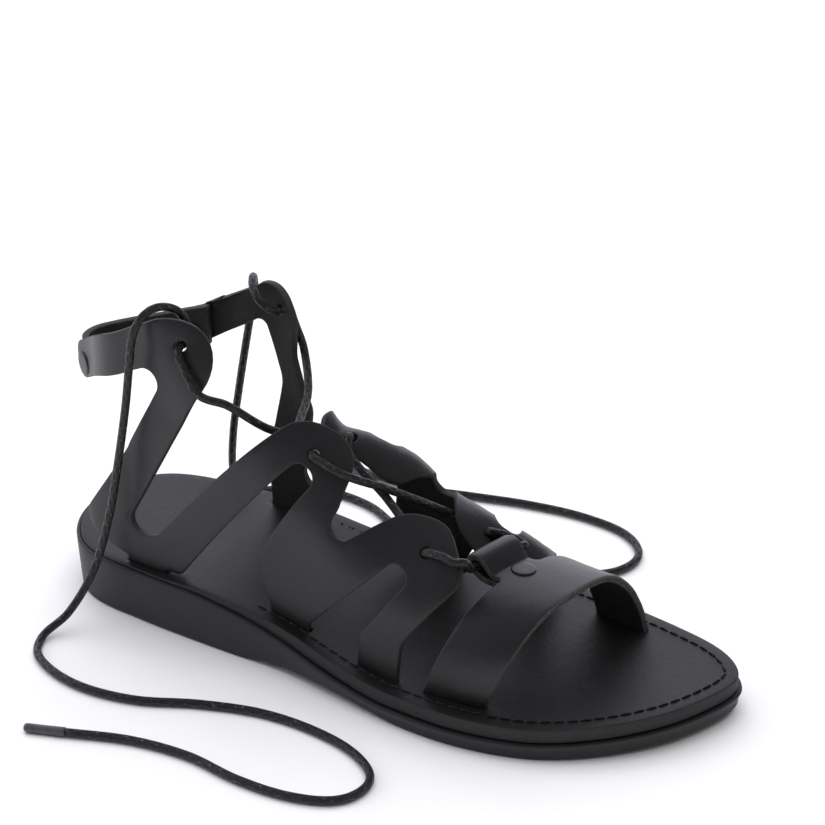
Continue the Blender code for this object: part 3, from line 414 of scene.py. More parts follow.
def lace_tube(name, points, finish, sides=12, radius=LACE / 2, taper=1.0):
    """A round tube along the points, with a UV map that counts round it and along it in metres."""
    points = [Vector(p) for p in points]
    bm = bmesh.new()
    uv = bm.loops.layers.uv.new("UVMap")
    ahead = (points[1] - points[0]).normalized()
    across = ahead.orthogonal().normalized()
    rings = []
    along = lengths_along(points)
    for i, point in enumerate(points):
        before = points[max(i - 1, 0)]
        after = points[min(i + 1, len(points) - 1)]
        turned = (after - before).normalized()
        across = (across - turned * across.dot(turned)).normalized()
        other = turned.cross(across)
        size = radius * (taper if i in (0, len(points) - 1) else 1.0)
        rings.append([bm.verts.new(point + (across * c + other * s) * size) for c, s in circle(sides)])
    for i, (low, high) in enumerate(zip(rings, rings[1:])):
        for k in range(sides):
            j = (k + 1) % sides
            face = bm.faces.new((low[k], low[j], high[j], high[k]))
            for loop, (u, v) in zip(face.loops, ((k, i), (k + 1, i), (k + 1, i + 1), (k, i + 1))):
                loop[uv].uv = (u / sides, along[v])
    bm.faces.new(rings[0][::-1])
    bm.faces.new(rings[-1])
    return add_piece(name, bm, [finish])


# %% [markdown]
# ## Finishes
# Black leather isn't one black. The grain side is waxed and throws a broad soft light, the flesh side is
# matte and fibrous, and a cut edge is rough and a little lighter. Fine pores, a slow mottle and fibres are
# effects that several materials share, so each is a shader group, placed with its own values.

# %% Shader groups
def add_node(tree, kind, inputs=None, **settings):
    """A node with its settings, and each input a value or another node's output."""
    made = tree.nodes.new(kind)
    for label, value in settings.items():
        setattr(made, label, value)
    for label, value in (inputs or {}).items():
        if isinstance(value, bpy.types.NodeSocket):
            tree.links.new(value, made.inputs[label])
        else:
            made.inputs[label].default_value = value
    return made


def math_node(tree, operation, a, b=0.0, clamp=False):
    return add_node(tree, "ShaderNodeMath", {0: a, 1: b}, operation=operation, use_clamp=clamp).outputs[0]


def times(tree, a, b, clamp=False):
    return math_node(tree, "MULTIPLY", a, b, clamp)


def plus(tree, a, b):
    return math_node(tree, "ADD", a, b)


def above(tree, value, floor, steepness):
    """How far a value is above a floor, made steep and kept between 0 and 1."""
    return times(tree, math_node(tree, "SUBTRACT", value, floor), steepness, True)


def noise_node(tree, vector, scale, detail=3.0, roughness=0.55):
    inputs = {"Vector": vector, "Scale": scale, "Detail": detail, "Roughness": roughness}
    return add_node(tree, "ShaderNodeTexNoise", inputs).outputs["Fac"]


def shader_group(name, inputs, outputs):
    """A shader group with numbers out, and inputs by label: a number, a direction, or None for a place."""
    group = bpy.data.node_groups.new(name, "ShaderNodeTree")
    for label, value in inputs.items():
        kind = "NodeSocketFloat" if isinstance(value, float) else "NodeSocketVector"
        socket = group.interface.new_socket(label, in_out="INPUT", socket_type=kind)
        if value is not None:
            socket.default_value = value
    for label in outputs:
        group.interface.new_socket(label, in_out="OUTPUT", socket_type="NodeSocketFloat")
    return group, group.nodes.new("NodeGroupInput").outputs, group.nodes.new("NodeGroupOutput").inputs


def make_grain_group():
    """Pores and fine wrinkles of the grain side, a slow mottle of wax, and scuffs."""
    inputs = {"Vector": None, "Pore scale": 1400.0, "Mottle scale": 45.0}
    group, given, out = shader_group("leather_grain", inputs, ("Height", "Mottle", "Scuff"))
    place = given["Vector"]
    pores = add_node(group, "ShaderNodeTexVoronoi", {"Vector": place, "Scale": given["Pore scale"]})
    fine = noise_node(group, place, times(group, given["Pore scale"], 0.45), 4.0)
    wrinkles = noise_node(group, place, times(group, given["Mottle scale"], 4.0), 2.0)
    height = plus(group, times(group, pores.outputs["Distance"], 0.5), times(group, fine, 0.6))
    height = plus(group, height, times(group, wrinkles, 1.2))
    scuff = noise_node(group, place, times(group, given["Mottle scale"], 9.0), 6.0, 0.7)
    group.links.new(height, out["Height"])
    group.links.new(noise_node(group, place, given["Mottle scale"], 4.0, 0.6), out["Mottle"])
    group.links.new(above(group, scuff, 0.58, 6.0), out["Scuff"])
    return group


def make_fibre_group():
    """Short tangled fibres, as on the flesh side and on a cut edge, drawn out along one direction."""
    inputs = {"Vector": None, "Stretch": (1.0, 1.0, 0.35), "Scale": 900.0}
    group, given, out = shader_group("leather_fibre", inputs, ("Height", "Tone"))
    inputs = {0: given["Vector"], 1: given["Stretch"]}
    drawn = add_node(group, "ShaderNodeVectorMath", inputs, operation="MULTIPLY")
    fine = noise_node(group, drawn.outputs[0], given["Scale"], 5.0, 0.7)
    broad = noise_node(group, drawn.outputs[0], times(group, given["Scale"], 0.25), 3.0)
    group.links.new(plus(group, fine, times(group, broad, 0.8)), out["Height"])
    group.links.new(fine, out["Tone"])
    return group


GRAIN = make_grain_group()
FIBRE = make_fibre_group()

# %% Materials built on the groups
BRAID_STRANDS = 8
BRAID_PITCH = 5.5 * MM


def new_material(name, sheen=0.5, metal=0.0):
    made = bpy.data.materials.new(name)
    made.use_nodes = True
    shader = made.node_tree.nodes["Principled BSDF"]
    shader.inputs["Specular IOR Level"].default_value = sheen
    shader.inputs["Metallic"].default_value = metal
    return made, made.node_tree, shader


def dress(tree, shader, tone, colours, gloss, roughness, height, depth):
    """Colour by a tone, roughness by a gloss, and a bump depth metres deep by a height."""
    ramp = add_node(tree, "ShaderNodeValToRGB", {0: tone})
    for stop, colour, place in zip(ramp.color_ramp.elements, colours, (0.3, 0.75)):
        stop.color = (*colour, 1.0)
        stop.position = place
    low, high = roughness
    spread = add_node(tree, "ShaderNodeMapRange", {"Value": gloss, "To Min": low, "To Max": high})
    bump = add_node(tree, "ShaderNodeBump", {"Strength": 1.0, "Distance": depth, "Height": height})
    tree.links.new(ramp.outputs[0], shader.inputs["Base Color"])
    tree.links.new(spread.outputs[0], shader.inputs["Roughness"])
    tree.links.new(bump.outputs[0], shader.inputs["Normal"])


def object_place(tree):
    return tree.nodes.new("ShaderNodeTexCoord").outputs["Object"]


def grain_material(name, dark, light, smooth, rough, pore_scale, depth, mottle_scale, sheen, metal):
    made, tree, shader = new_material(name, sheen, metal)
    inputs = {"Vector": object_place(tree), "Pore scale": pore_scale, "Mottle scale": mottle_scale}
    grain = add_node(tree, "ShaderNodeGroup", inputs, node_tree=GRAIN).outputs
    worn = plus(tree, grain["Mottle"], times(tree, grain["Scuff"], 0.35))
    dress(tree, shader, grain["Mottle"], (dark, light), worn, (smooth, rough), grain["Height"], depth * MM)
    return made


def fibre_material(name, dark, light, rough, scale, depth, stretch):
    made, tree, shader = new_material(name)
    inputs = {"Vector": object_place(tree), "Scale": scale, "Stretch": stretch}
    fibre = add_node(tree, "ShaderNodeGroup", inputs, node_tree=FIBRE).outputs
    tone = fibre["Tone"]
    dress(tree, shader, tone, (dark, light), tone, (rough - 0.12, rough), fibre["Height"], depth * MM)
    return made


def lace_material(name, dark, light):
    """Braided waxed cord: two sets of strands wind round it, read from the UV map, with flecks of wax."""
    made, tree, shader = new_material(name)
    uv = add_node(tree, "ShaderNodeUVMap", uv_map="UVMap")
    split = add_node(tree, "ShaderNodeSeparateXYZ", {0: uv.outputs[0]}).outputs
    around = times(tree, split["X"], math.pi * BRAID_STRANDS)
    along = times(tree, split["Y"], 2 * math.pi / BRAID_PITCH)
    right = math_node(tree, "SINE", plus(tree, around, along))
    left = math_node(tree, "SINE", math_node(tree, "SUBTRACT", around, along))
    strands = math_node(tree, "MAXIMUM", right, left)
    flecks = above(tree, noise_node(tree, object_place(tree), 900.0, 3.0, 0.7), 0.56, 4.0)
    tone = plus(tree, times(tree, strands, 0.25), flecks)
    dress(tree, shader, tone, (dark, light), strands, (0.62, 0.42), strands, 0.12 * MM)
    return made


GRAIN_FINISHES = (
    # name, dark and light colour, lowest and highest roughness, pore scale, bump in MM, mottle scale, sheen,
    # metal
    ("strap_grain", (0.0085, 0.0085, 0.0092), (0.0135, 0.0135, 0.0145), 0.34, 0.46, 1500, 0.06, 45, 0.50, 0),
    ("footbed_grain", (0.006, 0.006, 0.0062), (0.0105, 0.0105, 0.0106), 0.38, 0.56, 1100, 0.08, 30, 0.36, 0),
    ("sole_rubber", (0.0085, 0.0085, 0.010), (0.0130, 0.0130, 0.0150), 0.44, 0.58, 2200, 0.03, 25, 0.42, 0),
    ("rivet_black", (0.007, 0.007, 0.008), (0.012, 0.012, 0.013), 0.30, 0.42, 1800, 0.02, 45, 0.50, 0),
    ("washer_brass", (0.12, 0.09, 0.055), (0.24, 0.18, 0.10), 0.38, 0.60, 1200, 0.04, 120, 0.50, 0.85),
    ("aglet_plastic", (0.045, 0.046, 0.050), (0.075, 0.077, 0.083), 0.25, 0.40, 700, 0.03, 200, 0.50, 0),
)
FIBRE_FINISHES = (
    # name, dark and light colour, roughness, scale, bump in MM, stretch
    ("strap_flesh", (0.006, 0.0055, 0.0055), (0.022, 0.020, 0.019), 0.92, 900.0, 0.14, (1.0, 1.0, 0.35)),
    ("strap_edge", (0.012, 0.0115, 0.011), (0.050, 0.047, 0.044), 0.80, 1300.0, 0.12, (0.5, 0.5, 1.6)),
    ("raw_edge", (0.020, 0.019, 0.018), (0.125, 0.120, 0.112), 0.90, 1500.0, 0.20, (0.4, 0.4, 1.2)),
    ("footbed_edge", (0.008, 0.008, 0.0085), (0.026, 0.026, 0.027), 0.72, 700.0, 0.14, (0.4, 0.4, 2.5)),
    ("thread_black", (0.003, 0.003, 0.004), (0.010, 0.010, 0.012), 0.70, 2500.0, 0.06, (1.0, 1.0, 0.35)),
)
strap_grain, footbed_grain, sole_rubber, rivet_black, washer_brass, aglet_plastic = (
    grain_material(*row) for row in GRAIN_FINISHES
)
strap_flesh, strap_edge, raw_edge, footbed_edge, thread_black = (
    fibre_material(*row) for row in FIBRE_FINISHES
)
lace_wax = lace_material("lace_wax", (0.007, 0.007, 0.007), (0.13, 0.127, 0.12))
LEATHER_FINISH = [strap_grain, strap_flesh, strap_edge]

# %% [markdown]
# ## The lace through the holes
# The route is written as the shoe is laced: over or under the leather at a station and a rise, with a few
# free points between. The two halves start in the fold of the toe strap's tongue and end inside the ankle
# holes.

# %% The toe strap's arch and tongue, which the lace goes through
TOE_STRAP = (
    # share of the way over the foot from the lateral side, station of the rear and of the front edge
    (0.00, 0.633, 0.722),
    (0.25, 0.672, 0.764),
    (0.50, 0.705, 0.795),
    (0.75, 0.727, 0.812),
    (1.00, 0.754, 0.835),
)
TONGUE_AT = 0.49
TOE_RIVET_BACK = 0.05
TONGUE_FOLD = (
    # length in LACE, heading at its end in degrees above the toe strap's surface
    (1.00, 0),
    (1.00, 50),
    (1.80, 50),
    (2.30, -140),
    (0.985, -140),
    (0.90, -180),
)
FOLD_TURN = 3


def toe_foot(side, across):
    _, rear, front = TOE_STRAP[0 if side == LATERAL else -1]
    x = at_station(rear + (front - rear) * across)
    return Vector((x, side * (half_width(side, x) - slit_inset(x)), insole_height(x)))


TOE_HALF_SPAN = (toe_foot(MEDIAL, 0.5).y - toe_foot(LATERAL, 0.5).y) / 2
ARCH_ANGLES = np.linspace(0.0, math.pi, 181)
ARCH_ACROSS = -np.sign(np.cos(ARCH_ANGLES)) * np.abs(np.cos(ARCH_ANGLES)) ** (2 / ARCH_SQUARENESS)
ARCH_UP = np.sin(ARCH_ANGLES).clip(0) ** (2 / ARCH_SQUARENESS)
ARCH_ALONG = lengths_along(np.column_stack([ARCH_ACROSS * TOE_HALF_SPAN, ARCH_UP * TOE_STRAP_HEIGHT]))
TOE_SPAN = float(ARCH_ALONG[-1])
TOE_WIDTH = (TOE_STRAP[2][2] - TOE_STRAP[2][1]) * LENGTH


def toe_surface(along, across):
    """A point of the toe strap's inner face, along it from the lateral side, across it from its rear."""
    share = float(np.clip(along / TOE_SPAN, 0.0, 1.0))
    sideways = float(np.interp(share * TOE_SPAN, ARCH_ALONG, ARCH_ACROSS))
    up = float(np.interp(share * TOE_SPAN, ARCH_ALONG, ARCH_UP))
    rear, front = read_table(TOE_STRAP, share)
    x = at_station(rear + (front - rear) * across)
    low = toe_foot(LATERAL, across)
    high = toe_foot(MEDIAL, across)
    foot = low + (high - low) * (sideways + 1) / 2
    middle = (low.x + high.x) / 2
    beyond = max(-along, along - TOE_SPAN, 0.0)
    return Vector((x, foot.y, foot.z + up * (TOE_STRAP_HEIGHT - TOE_STRAP_FALL * (x - middle)) - beyond))


def toe_point(along, across, out=0.0):
    step = 0.5 * MM
    over = toe_surface(along + step, across) - toe_surface(along - step, across)
    forward = toe_surface(along, across + 0.02) - toe_surface(along, across - 0.02)
    normal = forward.cross(over).normalized()
    return toe_surface(along, across) + normal * out


def tongue_path(distance):
    """Back and up from the toe strap's rear edge, at a distance along the folded tongue."""
    back = 0.0
    up = 0.0
    heading = 0.0
    steps = 12
    for length, turn_to in TONGUE_FOLD + ((100.0, -180),):
        length = length * LACE
        for step in range(steps):
            piece = min(length / steps, distance)
            here = math.radians(heading + (turn_to - heading) * (step + 0.5) / steps)
            back += piece * math.cos(here)
            up += piece * math.sin(here)
            distance -= piece
            if distance <= 0:
                return back, up
        heading = turn_to
    return back, up


def fold_axis(along):
    """The middle of the tongue's turn, where the lace lies."""
    start = sum(length for length, _ in TONGUE_FOLD[:FOLD_TURN]) * LACE
    length, heading = TONGUE_FOLD[FOLD_TURN]
    before = math.radians(TONGUE_FOLD[FOLD_TURN - 1][1])
    radius = length * LACE / (before - math.radians(heading))
    back, up = tongue_path(start)
    back += radius * math.sin(before)
    up -= radius * math.cos(before)
    return toe_point(along, -back / TOE_WIDTH, up)


def in_fold(*shares):
    return [tuple(fold_axis(TOE_SPAN * TONGUE_AT + share * TONGUE_WIDTH)) for share in shares]


# %% The route of the lace
LACE_HOLES = {
    # side: station and rise of each hole, from the ankle to the toe
    LATERAL: ((0.234, 0.900), (0.425, 0.636), (0.605, 0.471)),
    MEDIAL: ((0.275, 0.845), (0.430, 0.655), (0.633, 0.455)),
}
NEAR_ANKLE_EDGE = (LATERAL, 0.275, 0.750, 1.4 * OVER)
FAR_ANKLE_EDGE = (MEDIAL, 0.305, 0.690, 1.4 * OVER)
NEAR_MIDDLE_EDGE = (LATERAL, 0.477, 0.610, 1.4 * OVER)
NEAR_MIDDLE_INSIDE = (LATERAL, 0.425, 0.636, UNDER)
FAR_MIDDLE_INSIDE = (MEDIAL, 0.430, 0.655, UNDER)
FAR_TOE_INSIDE = (MEDIAL, 0.600, 0.470, 1.5 * UNDER)
TOE_RUN = (
    (LATERAL, 0.632, 0.470, 1.3 * OVER),
    (LATERAL, 0.652, 0.460, 1.6 * OVER),
    (LATERAL, 0.664, 0.468, 0.7 * OVER),
)
TOE_BAR_DROP = ((0.35, 0.0), (0.75, 0.008))  # share of the way to the fold, drop as a share of UPPER_RISE
LACE_LEAN = {
    # side: the way that the lace outside each hole leans, in stations and shares of UPPER_RISE
    LATERAL: ((0.004, -0.018), (0.005, -0.006), (0.006, -0.002)),
    MEDIAL: ((0.004, -0.018), (0.004, 0.014), (0.000, 0.000)),
}


def through(side, number):
    """Into a hole from outside: over the leather, in the hole's middle, and inside it."""
    share, rise = LACE_HOLES[side][number]
    lean_on, lean_up = LACE_LEAN[side][number]
    rows = ((1.0, LEATHER + LACE / 2 + 0.1 * MM), (0.1, LEATHER / 2), (0.0, -(LACE / 2 + LACE_OFF)))
    return [
        tuple(on_last(side, at_station(share + lean * lean_on), (rise + lean * lean_up) * UPPER_RISE, out))
        for lean, out in rows
    ]


def run(*rows):
    return [run_point(row) for row in rows]


def past_the_tab():
    """From the tongue's fold back over the tab's edge to the lateral toe hole."""
    outside = run(*TOE_RUN)
    fold = Vector(fold_axis(TOE_SPAN * TONGUE_AT - 0.6 * TONGUE_WIDTH))
    up = Vector((0.0, 0.0, UPPER_RISE))
    between = [outside[-1].lerp(fold, way) - drop * up for way, drop in TOE_BAR_DROP]
    return [fold] + between[::-1] + outside[::-1]


NEAR_HALF = (
    in_fold(0.1, -0.3)
    + past_the_tab()
    + through(LATERAL, 2)
    + run(
        (LATERAL, 0.582, 0.510, UNDER),
        (NEAR_MIDDLE_EDGE, FAR_TOE_INSIDE, 0.32, 0.024),
        (MEDIAL, 0.445, 0.710, 1.4 * OVER),
    )
    + through(MEDIAL, 1)
    + run(
        (MEDIAL, 0.418, 0.730, 1.7 * UNDER),
        (NEAR_ANKLE_EDGE, FAR_MIDDLE_INSIDE, 0.65, 0.045),
        (NEAR_ANKLE_EDGE, FAR_MIDDLE_INSIDE, 0.43, 0.045),
        (NEAR_ANKLE_EDGE, FAR_MIDDLE_INSIDE, 0.18, 0.005),
        NEAR_ANKLE_EDGE,
        (LATERAL, 0.252, 0.825, 1.2 * OVER),
    )
    + through(LATERAL, 0)[:2]
)
FAR_HALF = (
    in_fold(0.1, 0.5, 0.85)
    + through(MEDIAL, 2)
    + run(
        FAR_TOE_INSIDE,
        (MEDIAL, 0.565, 0.500, UNDER),
        (NEAR_MIDDLE_EDGE, FAR_TOE_INSIDE, 0.32, -0.012),
        NEAR_MIDDLE_EDGE,
    )
    + through(LATERAL, 1)
    + run(
        (NEAR_ANKLE_EDGE, FAR_MIDDLE_INSIDE, 0.65, 0.014),
        (FAR_ANKLE_EDGE, NEAR_MIDDLE_INSIDE, 0.30, 0.045),
        FAR_ANKLE_EDGE,
        (MEDIAL, 0.290, 0.770, 1.2 * OVER),
    )
    + through(MEDIAL, 0)[:2]
)

lacing_path = smooth_path(NEAR_HALF[::-1] + FAR_HALF[1:], 0.7 * MM)
lacing = lace_tube("lacing", lacing_path, lace_wax)
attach(lacing, "root")
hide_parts("lace_cross_low", "lace_cross_high", "lace_toe_bar")
print("lacing, hole to hole (mm):", round(lengths_along(lacing_path)[-1] / MM))

# %% The free ends
LACE_ENDS = {
    LATERAL: (
        (0.0244, -0.0261, 0.1152),
        (0.0240, -0.0230, 0.1149),
        (0.0226, -0.0193, 0.1176),
        (0.0208, -0.0182, 0.1208),
        (0.0180, -0.0202, 0.1250),
        (0.0145, -0.0260, 0.1273),
        (0.0115, -0.0315, 0.1248),
        (0.0095, -0.0342, 0.1185),
        (0.0080, -0.0348, 0.1080),
        (0.0055, -0.0352, 0.0900),
        (0.0020, -0.0365, 0.0680),
        (-0.0020, -0.0390, 0.0440),
        (-0.0070, -0.0440, 0.0220),
        (-0.0130, -0.0525, 0.0070),
        (-0.0170, -0.0640, 0.0018),
        (-0.0100, -0.0750, 0.0018),
        (0.0100, -0.0820, 0.0018),
        (0.0330, -0.0800, 0.0018),
        (0.0550, -0.0710, 0.0018),
        (0.0770, -0.0650, 0.0018),
        (0.0990, -0.0650, 0.0018),
        (0.1180, -0.0700, 0.0018),
        (0.1290, -0.0800, 0.0018),
        (0.1260, -0.0930, 0.0018),
        (0.1110, -0.1000, 0.0018),
        (0.0900, -0.1010, 0.0018),
        (0.0680, -0.0980, 0.0018),
        (0.0460, -0.1000, 0.0018),
        (0.0240, -0.1070, 0.0018),
    ),
    MEDIAL: (
        (0.0349, 0.0200, 0.1097),
        (0.0335, 0.0168, 0.1120),
        (0.0295, 0.0162, 0.1150),
        (0.0255, 0.0190, 0.1177),
        (0.0220, 0.0245, 0.1183),
        (0.0190, 0.0300, 0.1150),
        (0.0170, 0.0332, 0.1090),
        (0.0145, 0.0347, 0.0990),
        (0.0105, 0.0360, 0.0820),
        (0.0060, 0.0375, 0.0620),
        (0.0010, 0.0400, 0.0400),
        (-0.0030, 0.0450, 0.0180),
        (-0.0040, 0.0530, 0.0055),
        (0.0030, 0.0640, 0.0018),
        (0.0200, 0.0730, 0.0018),
        (0.0420, 0.0720, 0.0018),
        (0.0620, 0.0620, 0.0018),
        (0.0820, 0.0560, 0.0018),
        (0.1040, 0.0590, 0.0018),
        (0.1260, 0.0640, 0.0018),
        (0.1450, 0.0740, 0.0018),
        (0.1500, 0.0890, 0.0018),
        (0.1400, 0.1010, 0.0018),
        (0.1200, 0.1050, 0.0018),
        (0.0970, 0.1030, 0.0018),
        (0.0750, 0.0980, 0.0018),
        (0.0540, 0.0930, 0.0018),
        (0.0330, 0.0930, 0.0018),
    ),
}
AGLET = 3.4 * MM
AGLET_LENGTH = 15 * MM
AGLET_PROFILE = (
    # share of the length, share of the radius
    (0.0, 0.92), (0.02, 1.0), (0.30, 1.0), (0.32, 0.97), (0.90, 0.97), (0.96, 0.86), (0.99, 0.55),
)


def make_aglet(name, start, along):
    """A wrapped plastic tip: a tube with a rounded nose, and a small step where the film ends."""
    across = along.orthogonal().normalized()
    other = along.cross(across)
    bm = bmesh.new()
    rings = []
    for share, size in AGLET_PROFILE:
        middle = start + along * (share * AGLET_LENGTH)
        radius = AGLET / 2 * size
        rings.append([bm.verts.new(middle + (across * c + other * s) * radius) for c, s in circle(20)])
    join_rings(bm, rings)
    bm.faces.new(rings[0][::-1])
    bm.faces.new(rings[-1])
    return add_piece(name, bm, [aglet_plastic])


for side, label in ((LATERAL, "lateral"), (MEDIAL, "medial")):
    end_path = smooth_path(LACE_ENDS[side], 1.2 * MM)
    end = lace_tube(f"free_lace_{label}", end_path, lace_wax)
    tip = Vector(end_path[-1])
    onward = (tip - Vector(end_path[-2])).normalized()
    aglet = make_aglet(f"tip_{label}", tip + onward * CLEARANCE, onward)
    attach(end, "root")
    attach(aglet, "root")
    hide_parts(f"lace_end_{label}")
    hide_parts(f"aglet_{label}")

# %% [markdown]
# ## Straps as flat cut leather
# A maker cuts each strap flat with a knife and then bends it over the last. The pieces here go the same way:
# a flat outline with its holes is divided into a fine grid, each point is laid on the last, and the wall gets
# its thickness along the surface's own direction, with rounded cut edges. The grain side, the flesh side and
# the edge are three finishes of one closed piece.

# %% Flat patterns
def rounded(corners, turn_step=9):
    """A closed outline of corners (x, y, radius), each corner an arc."""
    points = []
    for i, (x, y, radius) in enumerate(corners):
        here = Vector((x, y))
        if radius <= 0:
            points.append(here)
            continue
        back = (Vector(corners[i - 1][:2]) - here).normalized()
        on = (Vector(corners[(i + 1) % len(corners)][:2]) - here).normalized()
        half = back.angle(on) / 2
        middle = here + (back + on).normalized() * (radius / math.sin(half))
        start = here + back * (radius / math.tan(half))
        end = here + on * (radius / math.tan(half))
        sweep = (start - middle).angle_signed(end - middle)
        steps = max(3, round(abs(sweep) / math.radians(turn_step)))
        for step in range(steps + 1):
            turn = -sweep * step / steps
            arm = start - middle
            points.append(middle + Vector((
                arm.x * math.cos(turn) - arm.y * math.sin(turn),
                arm.x * math.sin(turn) + arm.y * math.cos(turn),
            )))
    return points


def outward_normals(loop):
    """Directions out of a closed loop that runs anticlockwise."""
    loop = np.array([p[:2] for p in loop], float)
    ahead = np.roll(loop, -1, axis=0) - loop
    ahead /= np.linalg.norm(ahead, axis=1)[:, None] + 1e-12
    both = ahead + np.roll(ahead, 1, axis=0)
    both /= np.linalg.norm(both, axis=1)[:, None] + 1e-12
    return np.column_stack([both[:, 1], -both[:, 0]])


def anticlockwise(loop):
    area = sum(a[0] * b[1] - b[0] * a[1] for a, b in zip(loop, list(loop[1:]) + [loop[0]]))
    return list(loop) if area > 0 else list(loop)[::-1]


def tidy_loop(loop, least=0.25 * MM):
    """The loop without points that nearly coincide."""
    kept = []
    for point in loop:
        point = Vector(point[:2])
        if not kept or (point - kept[-1]).length > least:
            kept.append(point)
    if (kept[0] - kept[-1]).length <= least:
        kept.pop()
    return kept


def inset_loop(loop, by):
    loop = anticlockwise(tidy_loop(loop))
    return [Vector(p) - Vector(n) * by for p, n in zip(loop, outward_normals(loop))]


def divided(loop, step):
    """The loop with no side longer than the step."""
    points = []
    for a, b in zip(loop, list(loop[1:]) + [loop[0]]):
        a, b = Vector(a[:2]), Vector(b[:2])
        count = max(1, math.ceil((b - a).length / step))
        points += [a.lerp(b, k / count) for k in range(count)]
    return points


def inside(points, loop):
    """Which of the points are inside a closed loop."""
    points = np.array(points, float)
    within = np.zeros(len(points), bool)
    for a, b in zip(loop, loop[1:] + loop[:1]):
        if a.y == b.y:
            continue
        spans = (a.y > points[:, 1]) != (b.y > points[:, 1])
        within ^= spans & (points[:, 0] < a.x + (points[:, 1] - a.y) / (b.y - a.y) * (b.x - a.x))
    return within


ROW_STEP = 0.87  # between the rows of a sheet's points, in steps
RIM_ROOM = 0.62  # least distance of those points from the rim, in steps


def flat_sheet(outline, holes, step):
    """A flat sheet with holes, as triangles of about that step."""
    loops = [divided(loop, step) for loop in [outline] + list(holes)]
    rim = np.array([tuple(p) for loop in loops for p in loop])
    low, high = rim.min(axis=0), rim.max(axis=0)
    spots = []
    for k, y in enumerate(np.arange(low[1], high[1], step * ROW_STEP)):
        row = np.arange(low[0] + (k % 2) * step / 2, high[0], step)
        spots.append(np.column_stack([row, np.full_like(row, y)]))
    spots = np.concatenate(spots)
    spots = spots[inside(spots, loops[0])]
    near = np.array([np.min(np.hypot(*(rim - spot).T)) for spot in spots])
    spots = spots[near > RIM_ROOM * step]
    edges = []
    start = 0
    for loop in loops:
        edges += [(start + k, start + (k + 1) % len(loop)) for k in range(len(loop))]
        start += len(loop)
    points = [Vector(p) for p in np.concatenate([rim, spots])]
    verts, _, faces, _, _, _ = delaunay_2d_cdt(points, edges, [], 0, 1e-9)
    middles = [sum((verts[i] for i in face), Vector((0.0, 0.0))) / len(face) for face in faces]
    keep = inside(middles, loops[0])
    for loop in loops[1:]:
        keep &= ~inside(middles, loop)
    bm = bmesh.new()
    made = [bm.verts.new((v.x, v.y, 0.0)) for v in verts]
    for face, wanted in zip(faces, keep):
        if wanted:
            bm.faces.new([made[i] for i in face])
    bmesh.ops.delete(bm, geom=[v for v in made if not v.link_faces], context="VERTS")
    for face in bm.faces:
        face.normal_update()
        if face.normal.z < 0:
            face.normal_flip()
    return bm


def round_hole(centre, radius, count=26):
    return [Vector((centre[0] + radius * c, centre[1] + radius * s)) for c, s in circle(count)]


EDGE_ROLL = 0.45 * MM
EDGE_ROWS = ((0.50, 0.13), (0.87, 0.50), (1.0, 1.0))  # shares of EDGE_ROLL, out from the rim and down


def laid_piece(name, flat, place, finishes, thickness=LEATHER, wave=None, facing=1):
    """Lays a flat sheet by place(x, y) and gives it a wall, with its free edges rolled over."""
    reach = 0.4 * MM

    def lay(x, y, *heights):
        normal = (place(x + reach, y) - place(x - reach, y)).cross(place(x, y + reach) - place(x, y - reach))
        normal = normal.normalized() * facing
        extra = wave(x, y) if wave else 0.0
        return [bm.verts.new(place(x, y) + normal * (height + extra)) for height in heights]

    bm = bmesh.new()
    top = {}
    under = {}
    for vert in flat.verts:
        top[vert], under[vert] = lay(vert.co.x, vert.co.y, thickness, 0.0)
    for face in flat.faces:
        order = list(face.verts)[::facing]
        bm.faces.new([top[v] for v in order]).material_index = 0
        bm.faces.new([under[v] for v in order[::-1]]).material_index = 1
    edge_rows = [(out, thickness - EDGE_ROLL * down) for out, down in EDGE_ROWS]
    edge_rows += [(out, EDGE_ROLL * down) for out, down in EDGE_ROWS[::-1]]
    rims = {}
    for vert in flat.verts:
        borders = [e for e in vert.link_edges if len(e.link_faces) == 1]
        if not borders:
            continue
        away = Vector((0.0, 0.0))
        for edge in borders:
            along = (edge.verts[1].co - edge.verts[0].co).xy.normalized()
            side_way = Vector((along.y, -along.x))
            middle = (edge.verts[0].co + edge.verts[1].co).xy / 2
            if side_way.dot(edge.link_faces[0].calc_center_median().xy - middle) > 0:
                side_way = -side_way
            away += side_way
        away.normalize()
        rims[vert] = [top[vert]]
        for out, height in edge_rows:
            at = vert.co.xy + away * EDGE_ROLL * out
            rims[vert] += lay(at.x, at.y, height)
        rims[vert].append(under[vert])
    for edge in flat.edges:
        if len(edge.link_faces) != 1:
            continue
        loop = [l for l in edge.link_faces[0].loops if l.edge == edge][0]
        a, b = loop.vert, loop.link_loop_next.vert
        if facing < 0:
            a, b = b, a
        for k in range(len(rims[a]) - 1):
            face = bm.faces.new((rims[a][k], rims[a][k + 1], rims[b][k + 1], rims[b][k]))
            face.material_index = 0 if k == 0 else 2
    return add_piece(name, bm, finishes)

# %% Patterns of the side pieces
IN_SLIT = -(INSOLE_THICKNESS - CLEARANCE) / UPPER_RISE
JUST_ABOVE = 0.008

